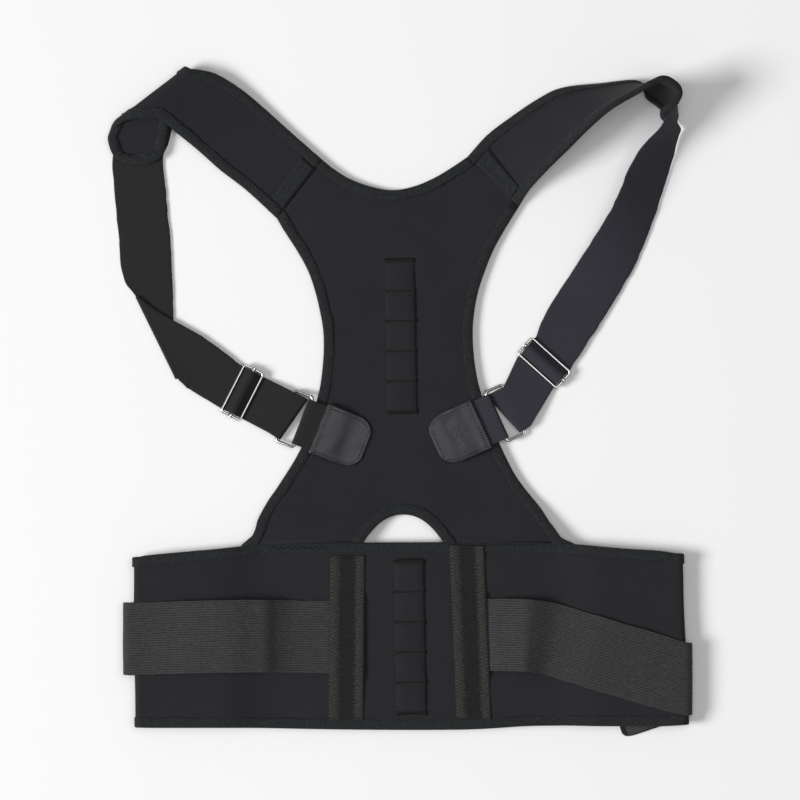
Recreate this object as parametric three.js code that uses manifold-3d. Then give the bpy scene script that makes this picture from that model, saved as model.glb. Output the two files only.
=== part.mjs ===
// A posture corrector lying on its front: a bound neoprene back panel with two shoulder arms, adjustable
// webbing straps on slides and rings, and a wide waist belt folded under itself with elastic pull straps.
// Millimetres, +X to the right of the back, +Y towards the shoulders, +Z up from the surface it lies on.
import * as THREE from "three";
import { mergeVertices } from "three/addons/utils/BufferGeometryUtils.js";
import Module from "manifold-3d";

// Overall layout
const half_spread = 226; // from the middle of the back to the outermost shoulder loop
const back_height = 275; // waist belt's top edge up to the lowest point of the neckline
const clearance = 0.3; // between pieces that touch

// Neoprene and its edge binding
const foam_thick = 3;
const tape_thick = 0.6;
const binding_width = 7;
const least_slant = 0.4; // limits how far a binding is drawn out where its end is cut on a slant
const hem_rise_length = 42; // stretch over which the panel climbs from the surface to the belt
const moon_width = 62; // half-moon opening above the belt
const moon_height = 22.6;

// Shoulder arms
const arm_width = 56;
const shoulder_fold_radius = 4.2;
const seam_tape_width = 12.5;
const seam_tape_length = 38;
const seam_tape_thick = 0.9;

// Waist belt
const belt_length = 432; // fold to fold, as it lies
const belt_height = 146;
const waist_length = 798; // the whole belt, opened out
const belt_fold_radius = 2.55;
const stay_tape_spacing = 97; // middle to middle
const stay_tape_width = 27;
const stay_tape_thick = 0.9;
const hook_pad_length = 50;
const hook_pad_width = 90;
const hook_pad_thick = 1.1;

// Elastic pull straps
const elastic_width = 56.5;
const elastic_thick = 1.2;
const elastic_return = 60; // length under the belt, behind the fold
const elastic_settle = 12; // stretch in which it sinks from the fold to its hook tab
const elastic_tuck = 9; // length held under the stay tape
const elastic_arch = 4.5; // how far the slack strap stands off the belt
const tab_length = 46;
const tab_width = 59;
const tab_thick = 2.4;

// Magnet pockets
const pocket_width = 23;
const pocket_pitch = 23.5;
const pocket_count = 5;
const pocket_edge_thick = 0.8;
const magnet_rise = 1.3;

// Shoulder webbing and its hardware
const web_width = 40;
const web_thick = 1.4;
const web_fold_radius = 1.2;
const web_gather = 0.92; // the webbing narrows where it is threaded
const wire = 2.3; // slide wire
const slide_play = 0.6;
const slide_width = 18.7;
const rivet = 4.2;
const rivet_length = 2.8;
const ring_wire = 2.5;
const ring_play = 1.4;
const ring_span = 15; // between the two long rods
const ring_corner = 2.4;
const slide_corner = 2;
const loop_thick = 1;
const loop_length = 15; // ring loop, from the patch to its outer edge
const loop_tuck = 8; // ring loop held under the patch
const loop_sink = 0.9; // how far the loop drops past the panel's edge
const patch_slope_length = 9; // stretch in which the patch comes down onto the panel
const patch_length = 40;
const patch_width = 41.5;
const patch_thick = 1.4;

// Levels worked out from the sizes above
const grip = foam_thick / 2 + clearance; // from the middle of the neoprene to the inside of its binding
const binding_half = grip + tape_thick;
const edge_out = clearance + tape_thick; // how far a binding stands out past the neoprene's edge
const panel_level = binding_half;
const strap_level = web_thick / 2;
const tongue_level = web_thick + clearance + binding_half;
const crest_level = tongue_level + 2 * shoulder_fold_radius;
const flap_low = binding_half;
const flap_high = tab_thick + clearance + elastic_thick + clearance + binding_half;
const flap_length = (waist_length - belt_length) / 2;
const half_belt = belt_length / 2 - belt_fold_radius - foam_thick / 2; // middle to the crease
const hem_gap = edge_out + clearance;
const settle_length = 38; // stretch over which the belt sinks back from the strap's hook tab
const frame_level = strap_level + web_thick + clearance + web_thick / 2 + clearance + wire / 2;
const bar_turn = wire / 2 + clearance + web_thick / 2; // webbing's middle round a slide's wire
const rod_turn = ring_wire / 2 + clearance + web_thick / 2; // the same round a ring's rod
const rod_level = strap_level + rod_turn;
const loop_turn = ring_wire / 2 + clearance + loop_thick / 2;
const loop_low = panel_level + binding_half + clearance + loop_thick / 2;
const loop_high = loop_low + loop_thick + clearance;
const loop_rod_level = loop_low + loop_turn - loop_sink;
const patch_low = panel_level + foam_thick / 2 + clearance + patch_thick / 2;
const patch_high = loop_high + loop_thick / 2 + clearance + patch_thick / 2;
const threaded_width = web_width * web_gather;
const slide_inner = threaded_width + 2 * slide_play;
const ring_inner = threaded_width + 2 * ring_play;
const loop_width = ring_inner + ring_wire - 2 * ring_corner;
const rod_distance = loop_length - (ring_wire / 2 + clearance + loop_thick); // patch to the loop's rod

// Each row of a strip: the middle of its section as shares of half_spread and back_height, the turn and the
// tilt in degrees of the line across it, its width as a share of the strip's, and its rise as a share of the
// height that the strip climbs.
const [ACROSS, UP, TURN, TILT, WIDTH, RISE] = [0, 1, 2, 3, 4, 5];

const left_arm_upper = [
  [-0.345, 1.003, 52, 0, 1.0, 0],
  [-0.454, 1.083, 55, 0, 0.99, 0.02],
  [-0.547, 1.147, 57, 0, 1.03, 0.1],
  [-0.623, 1.2, 56, 0, 1.01, 0.28],
  [-0.699, 1.244, 55, 0, 0.96, 0.55],
  [-0.756, 1.27, 47, 0, 0.92, 0.82],
  [-0.82, 1.269, 36, 0, 0.983, 1],
];
const left_arm_landing = [-0.8655, 1.241, 36, 0, 1.337, 0];
const left_arm_tongue = [
  [-0.888, 1.2, 27, 0, 1.04, 0],
  [-0.902, 1.161, 14, 0, 0.84, 0],
  [-0.902, 1.123, 9, 0, 0.74, 0],
  [-0.899, 1.097, 4, 0, 0.62, 0],
  [-0.897, 1.082, 3, 0, 0.42, 0],
  [-0.896, 1.076, 2, 0, 0.22, 0],
];
const right_arm_rows = [
  [0.321, 1.024, -44, 0, 0.97, 0],
  [0.373, 1.078, -53, 7, 0.94, 0.059],
  [0.443, 1.13, -56, 22, 0.93, 0.179],
  [0.53, 1.187, -61, 35, 0.95, 0.277],
  [0.6, 1.227, -62, 47, 0.95, 0.348],
  [0.704, 1.261, -71, 67, 0.92, 0.416],
  [0.816, 1.288, -97, 80, 0.9, 0.427],
  [0.871, 1.287, -308, 74, 0.89, 0.42],
  [0.912, 1.27, -315, 69, 0.86, 0.4],
  [0.936, 1.245, -308, 72, 0.82, 0.385],
  [0.933, 1.222, -270, 80, 0.77, 0.371],
  [0.918, 1.2026, -212, 73, 0.71, 0.354],
  [0.9065, 1.1872, -210, 72, 0.58, 0.349],
  [0.9, 1.1785, -210, 72, 0.4, 0.346],
  [0.8965, 1.1739, -210, 72, 0.2, 0.345],
];
const left_web_under = [
  [-0.87, 1.215, -3, 0, 1.02, 0],
  [-0.885, 1.146, -2, 0, 1.02, 0],
  [-0.905, 1.088, 1, 0, 0.99, 0],
  [-0.897, 1.001, 0, 0, 1.0, 0],
  [-0.89, 0.933, 2, 0, 1.0, 0],
  [-0.881, 0.862, 2, 0, 1.0, 0],
  [-0.875, 0.78, -5, 0, 1.0, 0],
  [-0.865, 0.7, -30, 0, 1.08, 0],
  [-0.854, 0.64, -52, 0, 1.38, 0],
  [-0.836, 0.584, -64, 0, 1.8, 0],
];
const left_web_over = [
  [-0.804, 0.562, -71, 0, 1.47, 1],
  [-0.758, 0.539, -85, 0, 1.2, 0.97],
  [-0.718, 0.517, -100, 0, 1.08, 0.93],
  [-0.684, 0.499, -119, 0, 1.0, 0.85],
];
const right_web_rows = [
  [0.97, 1.237, 111, 80, 0.98, 0.49],
  [0.961, 1.21, 124, 79, 0.98, 0.485],
  [0.947, 1.187, 142, 73, 0.98, 0.475],
  [0.927, 1.163, 158, 66, 0.99, 0.458],
  [0.884, 1.102, 161, 49, 1.0, 0.383],
  [0.847, 1.032, 156, 38, 1.0, 0.308],
  [0.803, 0.935, 151, 33, 1.0, 0.275],
  [0.737, 0.825, 151, 16, 1.0, 0.145],
  [0.649, 0.706, 147, 2, 1.0, 0.045],
  [0.575, 0.61, 140, 0, 1.0, 0.0425],
];

// Rows of the back panel: height, left edge and right edge, as shares of back_height and half_spread. The
// last rows climb the shoulder seams.
const panel_rows = [
  [0, -0.525, 0.568],
  [0.02, -0.505, 0.546],
  [0.04, -0.495, 0.53],
  [0.065, -0.487, 0.507],
  [0.094, -0.469, 0.485],
  [0.122, -0.449, 0.458],
  [0.15, -0.425, 0.43],
  [0.179, -0.402, 0.404],
  [0.207, -0.38, 0.383],
  [0.235, -0.359, 0.366],
  [0.275, -0.334, 0.343],
  [0.321, -0.315, 0.322],
  [0.377, -0.293, 0.296],
  [0.434, -0.274, 0.272],
  [0.491, -0.264, 0.257],
  [0.547, -0.259, 0.249],
  [0.604, -0.261, 0.247],
  [0.661, -0.273, 0.253],
  [0.718, -0.29, 0.267],
  [0.774, -0.314, 0.29],
  [0.831, -0.352, 0.318],
  [0.888, -0.397, 0.356],
];
const left_root = { outer: [-0.421, 0.922], inner: [-0.269, 1.083] };
const right_root = { outer: [0.407, 0.956], inner: [0.235, 1.092] };
// Neckline between the two shoulder seams: across, up
const neck_rows = [
  [0.173, 1.058],
  [0.114, 1.03],
  [0.045, 1.007],
  [-0.028, 0.997],
  [-0.104, 1.008],
  [-0.176, 1.03],
  [-0.231, 1.058],
];
const moon_middle = 0.007; // across
const moon_roundness = 1.8;

// Rows of the waist belt's upper layer: place along half_belt, drop of the top edge and lift of the bottom
// edge as shares of belt_height
const belt_rows = [
  [-1, 0.078, 0.012],
  [-0.96, 0.068, 0.011],
  [-0.81, 0.048, 0.011],
  [-0.7, 0.034, 0.011],
  [-0.6, 0.018, 0.01],
  [-0.52, 0.008, 0.008],
  [-0.2, 0.002, 0],
  [0.2, 0, 0],
  [0.42, 0, 0.018],
  [0.52, 0.002, 0.021],
  [0.6, 0.008, 0.022],
  [0.7, 0.02, 0.02],
  [0.81, 0.034, 0.02],
  [0.93, 0.045, 0.02],
  [1, 0.06, 0.026],
];
const belt_middle = 0.0276; // across
// Rows of a folded flap: place along flap_length, top drop, bottom lift
const flap_rows = [
  [0.12, 0.075, 0.03],
  [0.34, 0.08, 0.04],
  [0.42, 0.082, 0.045],
  [0.5, 0.085, 0.05],
  [0.58, 0.088, 0.055],
  [0.93, 0.1, 0.08],
  [0.98, 0.13, 0.11],
  [1, 0.19, 0.17],
];

// Rows of an elastic strap's upper run from the stay tape: place along half_belt, middle below the belt's top
// edge as a share of belt_height, fall in degrees, and arch off the belt
const left_elastic_rows = [
  [0.41, 0.497, 0, 0.4],
  [0.5, 0.493, 0, 0.85],
  [0.6, 0.491, 0, 1],
  [0.72, 0.494, 0, 0.65],
  [0.86, 0.5, 0, 0.25],
  [0.95, 0.505, 0, 0.04],
];
const right_elastic_rows = [
  [0.38, 0.486, 0, 0.6],
  [0.46, 0.489, 5, 1],
  [0.54, 0.515, 13, 0.85],
  [0.63, 0.556, 17, 0.5],
  [0.74, 0.603, 17, 0.3],
  [0.87, 0.66, 17, 0.12],
  [0.96, 0.7, 9, 0.02],
];
const left_elastic_fold = { drop: 0.508, fall: 0 };
const right_elastic_fold = { drop: 0.722, fall: 17 };

// Rows of a stay tape: place down the belt as a share of belt_height, and how far it is lifted over the
// elastic strap and over the belt's top binding
const left_stay_rows = [
  [0.064, 0, 0],
  [0.25, 0, 0],
  [0.3, 1, 0],
  [0.7, 1, 0],
  [0.75, 0, 0],
  [0.94, 0, 0],
];
const right_stay_rows = [
  [0.01, 0, 1],
  [0.055, 0, 1],
  [0.1, 0, 0],
  [0.24, 0, 0],
  [0.285, 1, 0],
  [0.69, 1, 0],
  [0.735, 0, 0],
  [0.935, 0, 0],
];
const left_stay_lean = 0.7;
const right_stay_lean = -2;

// Middle of each row of magnet pockets: across, up, and its lean in degrees
const upper_pockets = { across: 0.002, up: 0.587, lean: 1.1 };
const lower_pockets = { across: 0.034, up: -0.265, lean: 1.1 };

// Middle of each leather patch's straight edge, where the ring loop leaves it, and where each slide sits
const left_fitting = {
  patch: [-0.282, 0.326, -111.3],
  slide: [-0.544, 0.427, -117],
  strap_turn: -120.3,
};
const right_fitting = {
  patch: [0.281, 0.339, 114.5],
  slide: [0.497, 0.5105, 138],
  strap_turn: 121.4,
};
// Outline of a leather patch: place along patch_length and width share
const patch_rows = [
  [0, 1],
  [0.12, 1],
  [0.22, 1],
  [0.3, 1],
  [0.38, 1],
  [0.46, 1],
  [0.7, 0.99],
  [0.84, 0.9],
  [0.94, 0.74],
  [1, 0.5],
];

const wasm = await Module();
wasm.setup();

const neoprene = ["#26272a", 0.95, 0];
const edge_tape = ["#2e3033", 0.9, 0];
const webbing = ["#2b2c30", 0.85, 0];
const elastic = ["#3a3a3d", 0.9, 0];
const worn_tape = ["#2c2e2b", 0.9, 0];
const leather = ["#35343a", 0.45, 0];
const nickel = ["#c9c9c6", 0.25, 1];
const hook_tape = ["#1f2022", 0.9, 0];

const part = new THREE.Group();

function addPiece(name, geometry, [color, roughness, metalness]) {
  const mesh = new THREE.Mesh(geometry, new THREE.MeshStandardMaterial({ color, roughness, metalness }));
  mesh.name = name;
  part.add(mesh);
  return mesh;
}

const radians = THREE.MathUtils.degToRad;
const lerp = THREE.MathUtils.lerp;
const smoothstep = THREE.MathUtils.smoothstep;
const place = (across, up, height) => new THREE.Vector3(across * half_spread, up * back_height, height);
const heading = (turn) => new THREE.Vector3(Math.cos(radians(turn)), Math.sin(radians(turn)), 0);
const middle = (section) => section.left.clone().add(section.right).multiplyScalar(0.5);
const moved = (section, shift) => ({ left: section.left.clone().add(shift), right: section.right.clone().add(shift) });
const count = (n) => Array.from({ length: n }, (_, i) => i);

// A closed body through rings of points with flat ends, or joined end to start. The second half of a ring
// runs back along the first, so its point k faces the point k places from its end.
function loft(rings, closed = false) {
  const size = rings[0].length;
  const points = rings.flat();
  const faces = [];
  const spans = closed ? rings.length : rings.length - 1;
  for (let i = 0; i < spans; i++) {
    const here = i * size;
    const next = ((i + 1) % rings.length) * size;
    for (let k = 0; k < size; k++) {
      const m = (k + 1) % size;
      faces.push([here + k, next + k, next + m], [here + k, next + m, here + m]);
    }
  }
  if (!closed) {
    const last = (rings.length - 1) * size;
    for (let k = 0; k < size / 2 - 1; k++) {
      const [a, b, c, d] = [k, k + 1, size - 2 - k, size - 1 - k];
      faces.push([a, b, c], [a, c, d], [last + c, last + b, last + a], [last + d, last + c, last + a]);
    }
  }
  const volume = faces.reduce((sum, [a, b, c]) => sum + points[a].dot(points[b].clone().cross(points[c])), 0);
  const turned = volume < 0 ? faces.map(([a, b, c]) => [a, c, b]) : faces;
  const geometry = new THREE.BufferGeometry().setFromPoints(points);
  geometry.setIndex(turned.flat());
  return geometry;
}

function solidOf(geometry) {
  const bare = geometry.clone();
  bare.deleteAttribute("normal");
  bare.deleteAttribute("uv");
  const merged = mergeVertices(bare, 1e-4);
  return new wasm.Manifold(
    new wasm.Mesh({
      numProp: 3,
      vertProperties: new Float32Array(merged.attributes.position.array),
      triVerts: new Uint32Array(merged.index.array),
    }),
  );
}

function geometryOf(solid) {
  const mesh = solid.getMesh();
  const geometry = new THREE.BufferGeometry();
  geometry.setAttribute("position", new THREE.BufferAttribute(mesh.vertProperties, 3));
  geometry.setIndex(new THREE.BufferAttribute(mesh.triVerts, 1));
  return geometry;
}

// The two ends of a line across a strip
function section(centre, turn, tilt, width) {
  const side = heading(turn).multiplyScalar(Math.cos(radians(tilt))).setZ(Math.sin(radians(tilt)));
  return {
    left: centre.clone().addScaledVector(side, -width / 2),
    right: centre.clone().addScaledVector(side, width / 2),
  };
}

function sections(rows, width, low, high) {
  return rows.map((row) =>
    section(place(row[ACROSS], row[UP], lerp(low, high, row[RISE])), row[TURN], row[TILT], width * row[WIDTH]),
  );
}

// More sections between the given ones, on a smooth curve along each edge
function smooth(given, steps) {
  const total = (given.length - 1) * steps;
  const [left, right] = ["left", "right"].map(
    (edge) => new THREE.CatmullRomCurve3(given.map((s) => s[edge]), false, "catmullrom"),
  );
  return count(total + 1).map((i) => ({ left: left.getPoint(i / total), right: right.getPoint(i / total) }));
}

// A strip that turns back over its last section: the bend goes away from the strip, up or down by climb. It
// may slide along the crease on its way, to end over another section of the same line.
function turnBack(strip, climb, steps, landing) {
  const crease = strip[strip.length - 1];
  const end = landing ?? crease;
  const across = crease.right.clone().sub(crease.left).setZ(0).normalize();
  const out = new THREE.Vector3(-across.y, across.x, 0);
  if (out.dot(middle(crease).sub(middle(strip[strip.length - 2]))) < 0) out.negate();
  return count(steps).map((i) => {
    const share = (i + 1) / steps;
    const angle = Math.PI * share;
    const shift = out.clone().multiplyScalar((Math.abs(climb) / 2) * Math.sin(angle));
    shift.z = (climb / 2) * (1 - Math.cos(angle));
    const slid = (edge) => end[edge].clone().sub(crease[edge]).setZ(0).multiplyScalar(share);
    const part_way = { left: crease.left.clone().add(slid("left")), right: crease.right.clone().add(slid("right")) };
    return moved(part_way, shift);
  });
}

// The direction that a strip's outer face looks in at each section
function normals(strip) {
  return strip.map((s, i) => {
    const before = middle(strip[Math.max(i - 1, 0)]);
    const after = middle(strip[Math.min(i + 1, strip.length - 1)]);
    return s.right.clone().sub(s.left).cross(after.sub(before)).normalize();
  });
}

function sheetOutline(shares) {
  return [...shares.map((x) => [x, 0.5]), ...[...shares].reverse().map((x) => [x, -0.5])];
}

// A strip of even thickness through the sections, divided across at the given shares of its width
function strap(strip, thickness, shares = [0, 1]) {
  const outline = sheetOutline(shares);
  const faces = normals(strip);
  const rings = strip.map((s, i) =>
    outline.map(([x, y]) => s.left.clone().lerp(s.right, x).addScaledVector(faces[i], y * thickness)),
  );
  return loft(rings);
}

// One edge of a strip as a path with the neoprene on its left: the right edge outwards, the left edge back.
// The binding lies along the strip's sections, and square to the edge where the strip narrows to a round end.
function edgePath(strip, edge, full_width = 0) {
  const faces = normals(strip);
  const path = strip.map((s, i) => {
    const line = s.left.clone().sub(s.right);
    const square = 1 - smoothstep(line.length(), 0.55 * full_width, 0.72 * full_width);
    return { point: s[edge], normal: faces[i], line: edge === "right" ? line : line.negate(), square };
  });
  return edge === "right" ? path : path.reverse();
}

// Binding tape folded over an edge. Its ends are cut square, or along the line given for an end, and it may
// be settled on a surface that bends under it.
function binding(path, { first_cut, last_cut, settle } = {}) {
  const profile = [
    [binding_width, grip],
    [-clearance, grip],
    [-clearance, -grip],
    [binding_width, -grip],
    [binding_width, -binding_half],
    [-edge_out, -binding_half],
    [-edge_out, binding_half],
    [binding_width, binding_half],
  ];
  const last = path.length - 1;
  const rings = path.map(({ point, normal, line = normal, square = 1 }, i) => {
    const tangent = path[Math.min(i + 1, last)].point.clone().sub(path[Math.max(i - 1, 0)].point);
    const cut = i === 0 ? first_cut : i === last ? last_cut : undefined;
    const squared = normal.clone().cross(tangent).normalize();
    const inward = (cut ?? line.clone().normalize().lerp(squared, square)).clone().normalize();
    const slant = Math.max(inward.dot(squared), least_slant);
    return profile.map(([x, y]) => {
      const base = point.clone().addScaledVector(inward, x / slant);
      return base.addScaledVector(settle ? settle(base) : normal, y);
    });
  });
  return loft(rings);
}

const panelHeight = (y) => lerp(belt_level, panel_level, smoothstep(y, 0, hem_rise_length));

// Drops a point onto the middle of the panel's neoprene and gives the direction square to it there
function settleOnPanel(point) {
  point.z = panelHeight(point.y);
  const fall = panelHeight(point.y - 1) - panelHeight(point.y + 1);
  return new THREE.Vector3(0, fall / 2, 1).normalize();
}

// How far the belt still stands up over the strap's hook tab, at a distance from its fold
const tabRise = (distance) => 1 - smoothstep(distance, elastic_return + 3, elastic_return + 3 + settle_length);
const flapLevel = (distance) => lerp(flap_low, flap_high, tabRise(distance));
const beltLevel = (x) => flapLevel(half_belt - Math.abs(x)) + 2 * belt_fold_radius;
const belt_level = flap_low + 2 * belt_fold_radius;
const belt_x = belt_middle * half_spread;
const beltPoint = (x, drop, height) => new THREE.Vector3(belt_x + x, -drop * belt_height, height);
const foam_top = (x) => beltLevel(x) + foam_thick / 2 + clearance; // what lies on the belt starts here

// A flat path on the panel with the neoprene on its left
const panelPath = (points) =>
  points.map(([x, y]) => ({ point: new THREE.Vector3(x, y, panelHeight(y)), normal: new THREE.Vector3(0, 0, 1) }));

const rootPoint = ([across, up]) => place(across, up, panel_level);
const seamLine = (root) => rootPoint(root.inner).sub(rootPoint(root.outer));

function panelStrip() {
  const sides = panel_rows.map(([up, left, right]) => {
    const y = Math.max(up * back_height, hem_gap);
    return {
      left: new THREE.Vector3(left * half_spread, y, panelHeight(y)),
      right: new THREE.Vector3(right * half_spread, y, panelHeight(y)),
    };
  });
  return [...sides, { left: rootPoint(left_root.outer), right: rootPoint(right_root.outer) }];
}

function neckPoints() {
  const curve = new THREE.CatmullRomCurve3(
    [right_root.inner, ...neck_rows, left_root.inner].map(rootPoint),
    false,
    "catmullrom",
  );
  return curve.getPoints(14);
}

function moonPoints(steps) {
  return count(steps + 1).map((i) => {
    const angle = Math.PI * (1 - i / steps);
    const bow = (value) => Math.sign(value) * Math.abs(value) ** (2 / moon_roundness);
    return [
      moon_middle * half_spread + (moon_width / 2) * bow(Math.cos(angle)),
      hem_gap + moon_height * bow(Math.sin(angle)),
    ];
  });
}

// An upright prism from a flat outline, for cutting right through the panel
function cutter(points) {
  const shape = new THREE.Shape(points.map(([x, y]) => new THREE.Vector2(x, y)));
  const deep = 4 * (belt_level + binding_half);
  return solidOf(new THREE.ExtrudeGeometry(shape, { depth: deep, bevelEnabled: false }).translate(0, 0, -deep / 2));
}

function makePanel() {
  const strip = panelStrip();
  const top = { left: rootPoint(left_root.inner), right: rootPoint(right_root.inner) };
  const body = solidOf(strap([...strip, top], foam_thick, [0, 0.5, 1]));
  const neck = neckPoints();
  const over = back_height * 1.3;
  const above = [
    [top.left.x, over],
    [top.right.x, over],
  ];
  const collar = cutter([...neck.map((p) => [p.x, p.y]), ...above]);
  const arch = moonPoints(10);
  const below = [
    [arch[arch.length - 1][0], -hem_gap],
    [arch[0][0], -hem_gap],
  ];
  const opening = cutter([...arch, ...below]);
  addPiece("back_panel", geometryOf(body.subtract(collar).subtract(opening)), neoprene);

  const [left_seam, right_seam] = [seamLine(left_root), seamLine(right_root)];
  const edges = { left: strip.map((s) => s.left).reverse(), right: strip.map((s) => s.right) };
  const [left_path, right_path] = [edges.left, edges.right].map((edge) => panelPath(edge.map((p) => [p.x, p.y])));
  const neck_path = panelPath(neck.map((p) => [p.x, p.y]));
  const neck_cuts = { first_cut: right_seam.clone().negate(), last_cut: left_seam.clone().negate() };
  const settle = settleOnPanel;
  const hem = new THREE.Vector3(1, 0, 0);
  addPiece("left_side_binding", binding(left_path, { first_cut: left_seam, last_cut: hem, settle }), edge_tape);
  addPiece("right_side_binding", binding(right_path, { first_cut: hem.clone().negate(), last_cut: right_seam, settle }), edge_tape);
  addPiece("neckline_binding", binding(neck_path, { ...neck_cuts, settle }), edge_tape);
  addPiece("half_moon_binding", binding(panelPath(arch), { settle }), edge_tape);
}

function armStrip(rows, root, low, high) {
  const given = sections(rows, arm_width, low, high);
  given[0] = root;
  return given;
}

// One length of tape out along an arm, round its tongue and back
function rimBinding(strip) {
  const seam = strip[0].left.clone().sub(strip[0].right);
  const path = [...edgePath(strip, "right", arm_width), ...edgePath(strip, "left", arm_width)];
  return binding(path, { first_cut: seam, last_cut: seam.clone().negate() });
}

// The arm's first section lies along the shoulder seam, a little way off the panel
function rootSection(root, sign) {
  const outer = rootPoint(root.outer);
  const inner = rootPoint(root.inner);
  const along = inner.clone().sub(outer).normalize();
  const off = new THREE.Vector3(-along.y, along.x, 0).multiplyScalar(2 * sign * clearance);
  return sign > 0
    ? { left: outer.add(off), right: inner.add(off) }
    : { left: inner.add(off), right: outer.add(off) };
}

// How far along a strip's middle each of its sections is
function travelled(strip) {
  const passed = [0];
  strip.slice(1).forEach((s, i) => passed.push(passed[i] + middle(s).distanceTo(middle(strip[i]))));
  return passed;
}

// The strip with one more section at each of the given distances along it
function divided(strip, distances) {
  const passed = travelled(strip);
  const more = distances.map((at) => {
    const i = passed.findIndex((p) => p > at);
    const share = (at - passed[i - 1]) / (passed[i] - passed[i - 1]);
    const [from, to] = [strip[i - 1], strip[i]];
    return { at, left: from.left.clone().lerp(to.left, share), right: from.right.clone().lerp(to.right, share) };
  });
  const all = [...strip.map((s, i) => ({ at: passed[i], left: s.left, right: s.right })), ...more];
  return all.sort((a, b) => a.at - b.at).map(({ left, right }) => ({ left, right }));
}

// The tape sewn over an arm's seam lies on the arm's own sections, on its outer face.
const seam_tape_start = edge_out + clearance;
const seam_tape_ends = [seam_tape_start, seam_tape_start + seam_tape_width];

function seamTape(strip) {
  const passed = travelled(strip);
  const faces = normals(strip);
  const lift = foam_thick / 2 + 2 * clearance + seam_tape_thick / 2;
  const on_tape = (at) => at > seam_tape_ends[0] - clearance / 2 && at < seam_tape_ends[1] + clearance / 2;
  return count(strip.length)
    .filter((i) => on_tape(passed[i]))
    .map((i) => {
      const across = strip[i].right.clone().sub(strip[i].left).normalize();
      const centre = middle(strip[i]).addScaledVector(faces[i], lift);
      return {
        left: centre.clone().addScaledVector(across, -seam_tape_length / 2),
        right: centre.clone().addScaledVector(across, seam_tape_length / 2),
      };
    });
}

function makeArms() {
  const left_root_section = rootSection(left_root, 1);
  const upper = smooth(armStrip(left_arm_upper, left_root_section, panel_level, crest_level), 3);
  const [landing] = sections([left_arm_landing], arm_width, tongue_level, tongue_level);
  const bend = turnBack(upper, tongue_level - crest_level, 6, landing);
  const fallen = bend[bend.length - 1];
  const tongue = smooth([fallen, ...sections(left_arm_tongue, arm_width, tongue_level, crest_level)], 2);
  const left = [...upper, ...bend, ...tongue.slice(1)];
  const right_root_section = rootSection(right_root, -1);
  const right = smooth(armStrip(right_arm_rows, right_root_section, panel_level, panel_level + arm_width), 3);
  const bound = [0, binding_width / arm_width, 0.5, 1 - binding_width / arm_width, 1];
  for (const [name, whole] of [["left", left], ["right", right]]) {
    const strip = divided(whole, seam_tape_ends);
    addPiece(name + "_shoulder_arm", strap(strip, foam_thick, bound), neoprene);
    addPiece(name + "_arm_binding", rimBinding(strip), edge_tape);
    addPiece(name + "_seam_tape", strap(seamTape(strip), seam_tape_thick, [0, 0.5, 1]), hook_tape);
  }
}

// The belt as one strip: left flap, left fold, upper layer, right fold, right flap
function beltStrip() {
  const upper = belt_rows.map(([along, drop, lift]) => {
    const x = along * half_belt;
    return { left: beltPoint(x, drop, beltLevel(x)), right: beltPoint(x, 1 - lift, beltLevel(x)) };
  });
  const flap = (side) =>
    flap_rows.map(([along, drop, lift]) => {
      const level = flapLevel(along * flap_length);
      const x = side * (half_belt - along * flap_length);
      return { left: beltPoint(x, drop, level), right: beltPoint(x, 1 - lift, level) };
    });
  const right_fold = turnBack(upper, -2 * belt_fold_radius, 6);
  const left_fold = turnBack([...upper].reverse(), -2 * belt_fold_radius, 6);
  return [...flap(-1).reverse(), ...left_fold.reverse(), ...upper, ...right_fold, ...flap(1)];
}

function makeBelt() {
  const strip = beltStrip();
  addPiece("waist_belt", strap(strip, foam_thick), neoprene);
  addPiece("belt_top_binding", binding(edgePath(strip, "left")), edge_tape);
  addPiece("belt_bottom_binding", binding(edgePath(strip, "right")), edge_tape);

  const pad_end = half_belt - 0.96 * flap_length;
  const pad_level = flap_low + foam_thick / 2 + clearance + hook_pad_thick / 2;
  const pad = [pad_end, pad_end + hook_pad_length].map((x) => ({
    left: beltPoint(-x, 0.5, pad_level).add(new THREE.Vector3(0, hook_pad_width / 2, 0)),
    right: beltPoint(-x, 0.5, pad_level).add(new THREE.Vector3(0, -hook_pad_width / 2, 0)),
  }));
  addPiece("belt_hook_pad", strap(pad, hook_pad_thick), hook_tape);
}

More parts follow.
